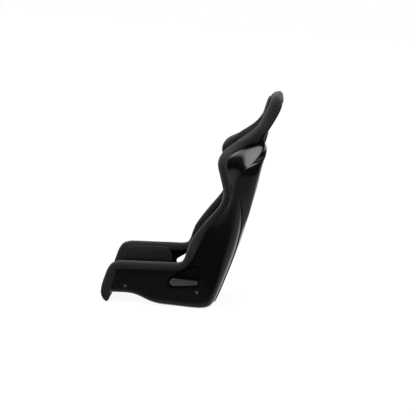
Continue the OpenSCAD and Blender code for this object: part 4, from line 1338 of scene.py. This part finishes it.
world = bpy.data.worlds.new("studio")
scene.world = world
world.use_nodes = True
nt = world.node_tree
nt.nodes.clear()
w = Nodes(nt)
out = w.add("ShaderNodeOutputWorld")
direction = w.add("ShaderNodeTexCoord").outputs["Generated"]
xyz = w.add("ShaderNodeSeparateXYZ", {0: direction})
height = w.span(xyz.outputs[2], 0, 1, -1, 1)
sky = w.ramp(height, [(0.0, (.30, .30, .30)), (.12, (.44, .44, .44)), (.22, (.34, .34, .34)), (.27, (.24, .24, .24)), (.34, (.24, .24, .24)),
                      (.375, (.085, .085, .085)), (.44, (.035, .035, .035)), (.64, (.02, .02, .02)), (.80, (.09, .09, .09)), (1.0, (1, 1, 1))])
box = w.add("ShaderNodeMapRange", {"Value": xyz.outputs[2], "From Min": .62, "From Max": .80, "To Min": 0.0, "To Max": 4.2}, interpolation_type="SMOOTHSTEP")
behind = w.add("ShaderNodeMapRange", {"Value": xyz.outputs[1], "From Min": .2, "From Max": .9, "To Min": 0.0, "To Max": .30}, interpolation_type="SMOOTHSTEP")
low = w.add("ShaderNodeMapRange", {"Value": xyz.outputs[2], "From Min": -.12, "From Max": -.26, "To Min": 0.0, "To Max": 1.0}, interpolation_type="SMOOTHSTEP")
far = w.add("ShaderNodeMapRange", {"Value": xyz.outputs[0], "From Min": .1, "From Max": -.7, "To Min": 0.0, "To Max": .9}, interpolation_type="SMOOTHSTEP")
light = w.math("ADD", w.math("ADD", box.outputs[0], w.math("MULTIPLY", behind.outputs[0], low.outputs[0])), far.outputs[0])
both = w.add("ShaderNodeVectorMath", {0: sky}, operation="ADD")
comb = w.add("ShaderNodeCombineXYZ", {0: light, 1: light, 2: light})
nt.links.new(comb.outputs[0], both.inputs[1])
path = w.add("ShaderNodeLightPath")
lit = w.add("ShaderNodeBackground", {"Color": both.outputs[0], "Strength": w.math("SUBTRACT", 1.0, w.math("MULTIPLY", path.outputs["Is Diffuse Ray"], .40))})
white = w.add("ShaderNodeBackground", {"Color": (1, 1, 1, 1), "Strength": 1.0})
mix = w.add("ShaderNodeMixShader", {0: path.outputs["Is Camera Ray"], 1: lit.outputs[0], 2: white.outputs[0]})
nt.links.new(mix.outputs[0], out.inputs[0])

# one large soft lamp on the near side, above
lamp_data = bpy.data.lights.new("soft_lamp", "AREA")
lamp_data.shape, lamp_data.size, lamp_data.energy = "DISK", .9, 38.0
lamp = bpy.data.objects.new("soft_lamp", lamp_data)
scene.collection.objects.link(lamp)
lamp.location = (1.3, -.25, 1.65)
lamp.rotation_euler = (Vector((0, .1, .55)) - lamp.location).to_track_quat("-Z", "Y").to_euler()
lamp.visible_glossy = False
lamp.visible_camera = False

floor_me = bpy.data.meshes.new("floor")
floor_me.from_pydata([(-40, -40, 0), (40, -40, 0), (40, 40, 0), (-40, 40, 0)], [], [(0, 1, 2, 3)])
floor = bpy.data.objects.new("floor", floor_me)
scene.collection.objects.link(floor)
fm = bpy.data.materials.new("floor_pale")
fm.use_nodes = True
fn = fm.node_tree
fn.nodes.clear()
f = Nodes(fn)
diff = f.add("ShaderNodeBsdfDiffuse", {"Color": (.05, .05, .05, 1)})
glow = f.add("ShaderNodeEmission", {"Color": (1, 1, 1, 1), "Strength": .93})
add = f.add("ShaderNodeAddShader", {0: diff.outputs[0], 1: glow.outputs[0]})
fn.links.new(add.outputs[0], f.add("ShaderNodeOutputMaterial").inputs[0])
floor_me.materials.append(fm)
floor.visible_glossy = False
floor.visible_diffuse = False

# ------------------------------------------------------------------ camera, at the photograph's angle
A, E, T, D = math.radians(2.62), math.radians(10.0), math.radians(4.7), 4.972
d = np.array([math.cos(E) * math.cos(A), math.cos(E) * math.sin(A), math.sin(E)])
right = unit(np.cross(-d, [0, 0, 1]))
up = np.cross(right, -d)
rx = np.array([[1, 0, 0], [0, math.cos(T), -math.sin(T)], [0, math.sin(T), math.cos(T)]])
loc = rx @ (d * D) + np.array([0, .065892, .382897])
cols = [rx @ right, rx @ up, rx @ d]
cam_data = bpy.data.cameras.new("camera")
cam = bpy.data.objects.new("camera", cam_data)
scene.collection.objects.link(cam)
cam.matrix_world = Matrix([[cols[0][i], cols[1][i], cols[2][i], loc[i]] for i in range(3)] + [[0, 0, 0, 1]])
cam_data.sensor_width = 36
cam_data.lens = 1202 / 416 * 36
cam_data.shift_x = -.3 / 416
cam_data.clip_start, cam_data.clip_end = .05, 200
scene.camera = cam
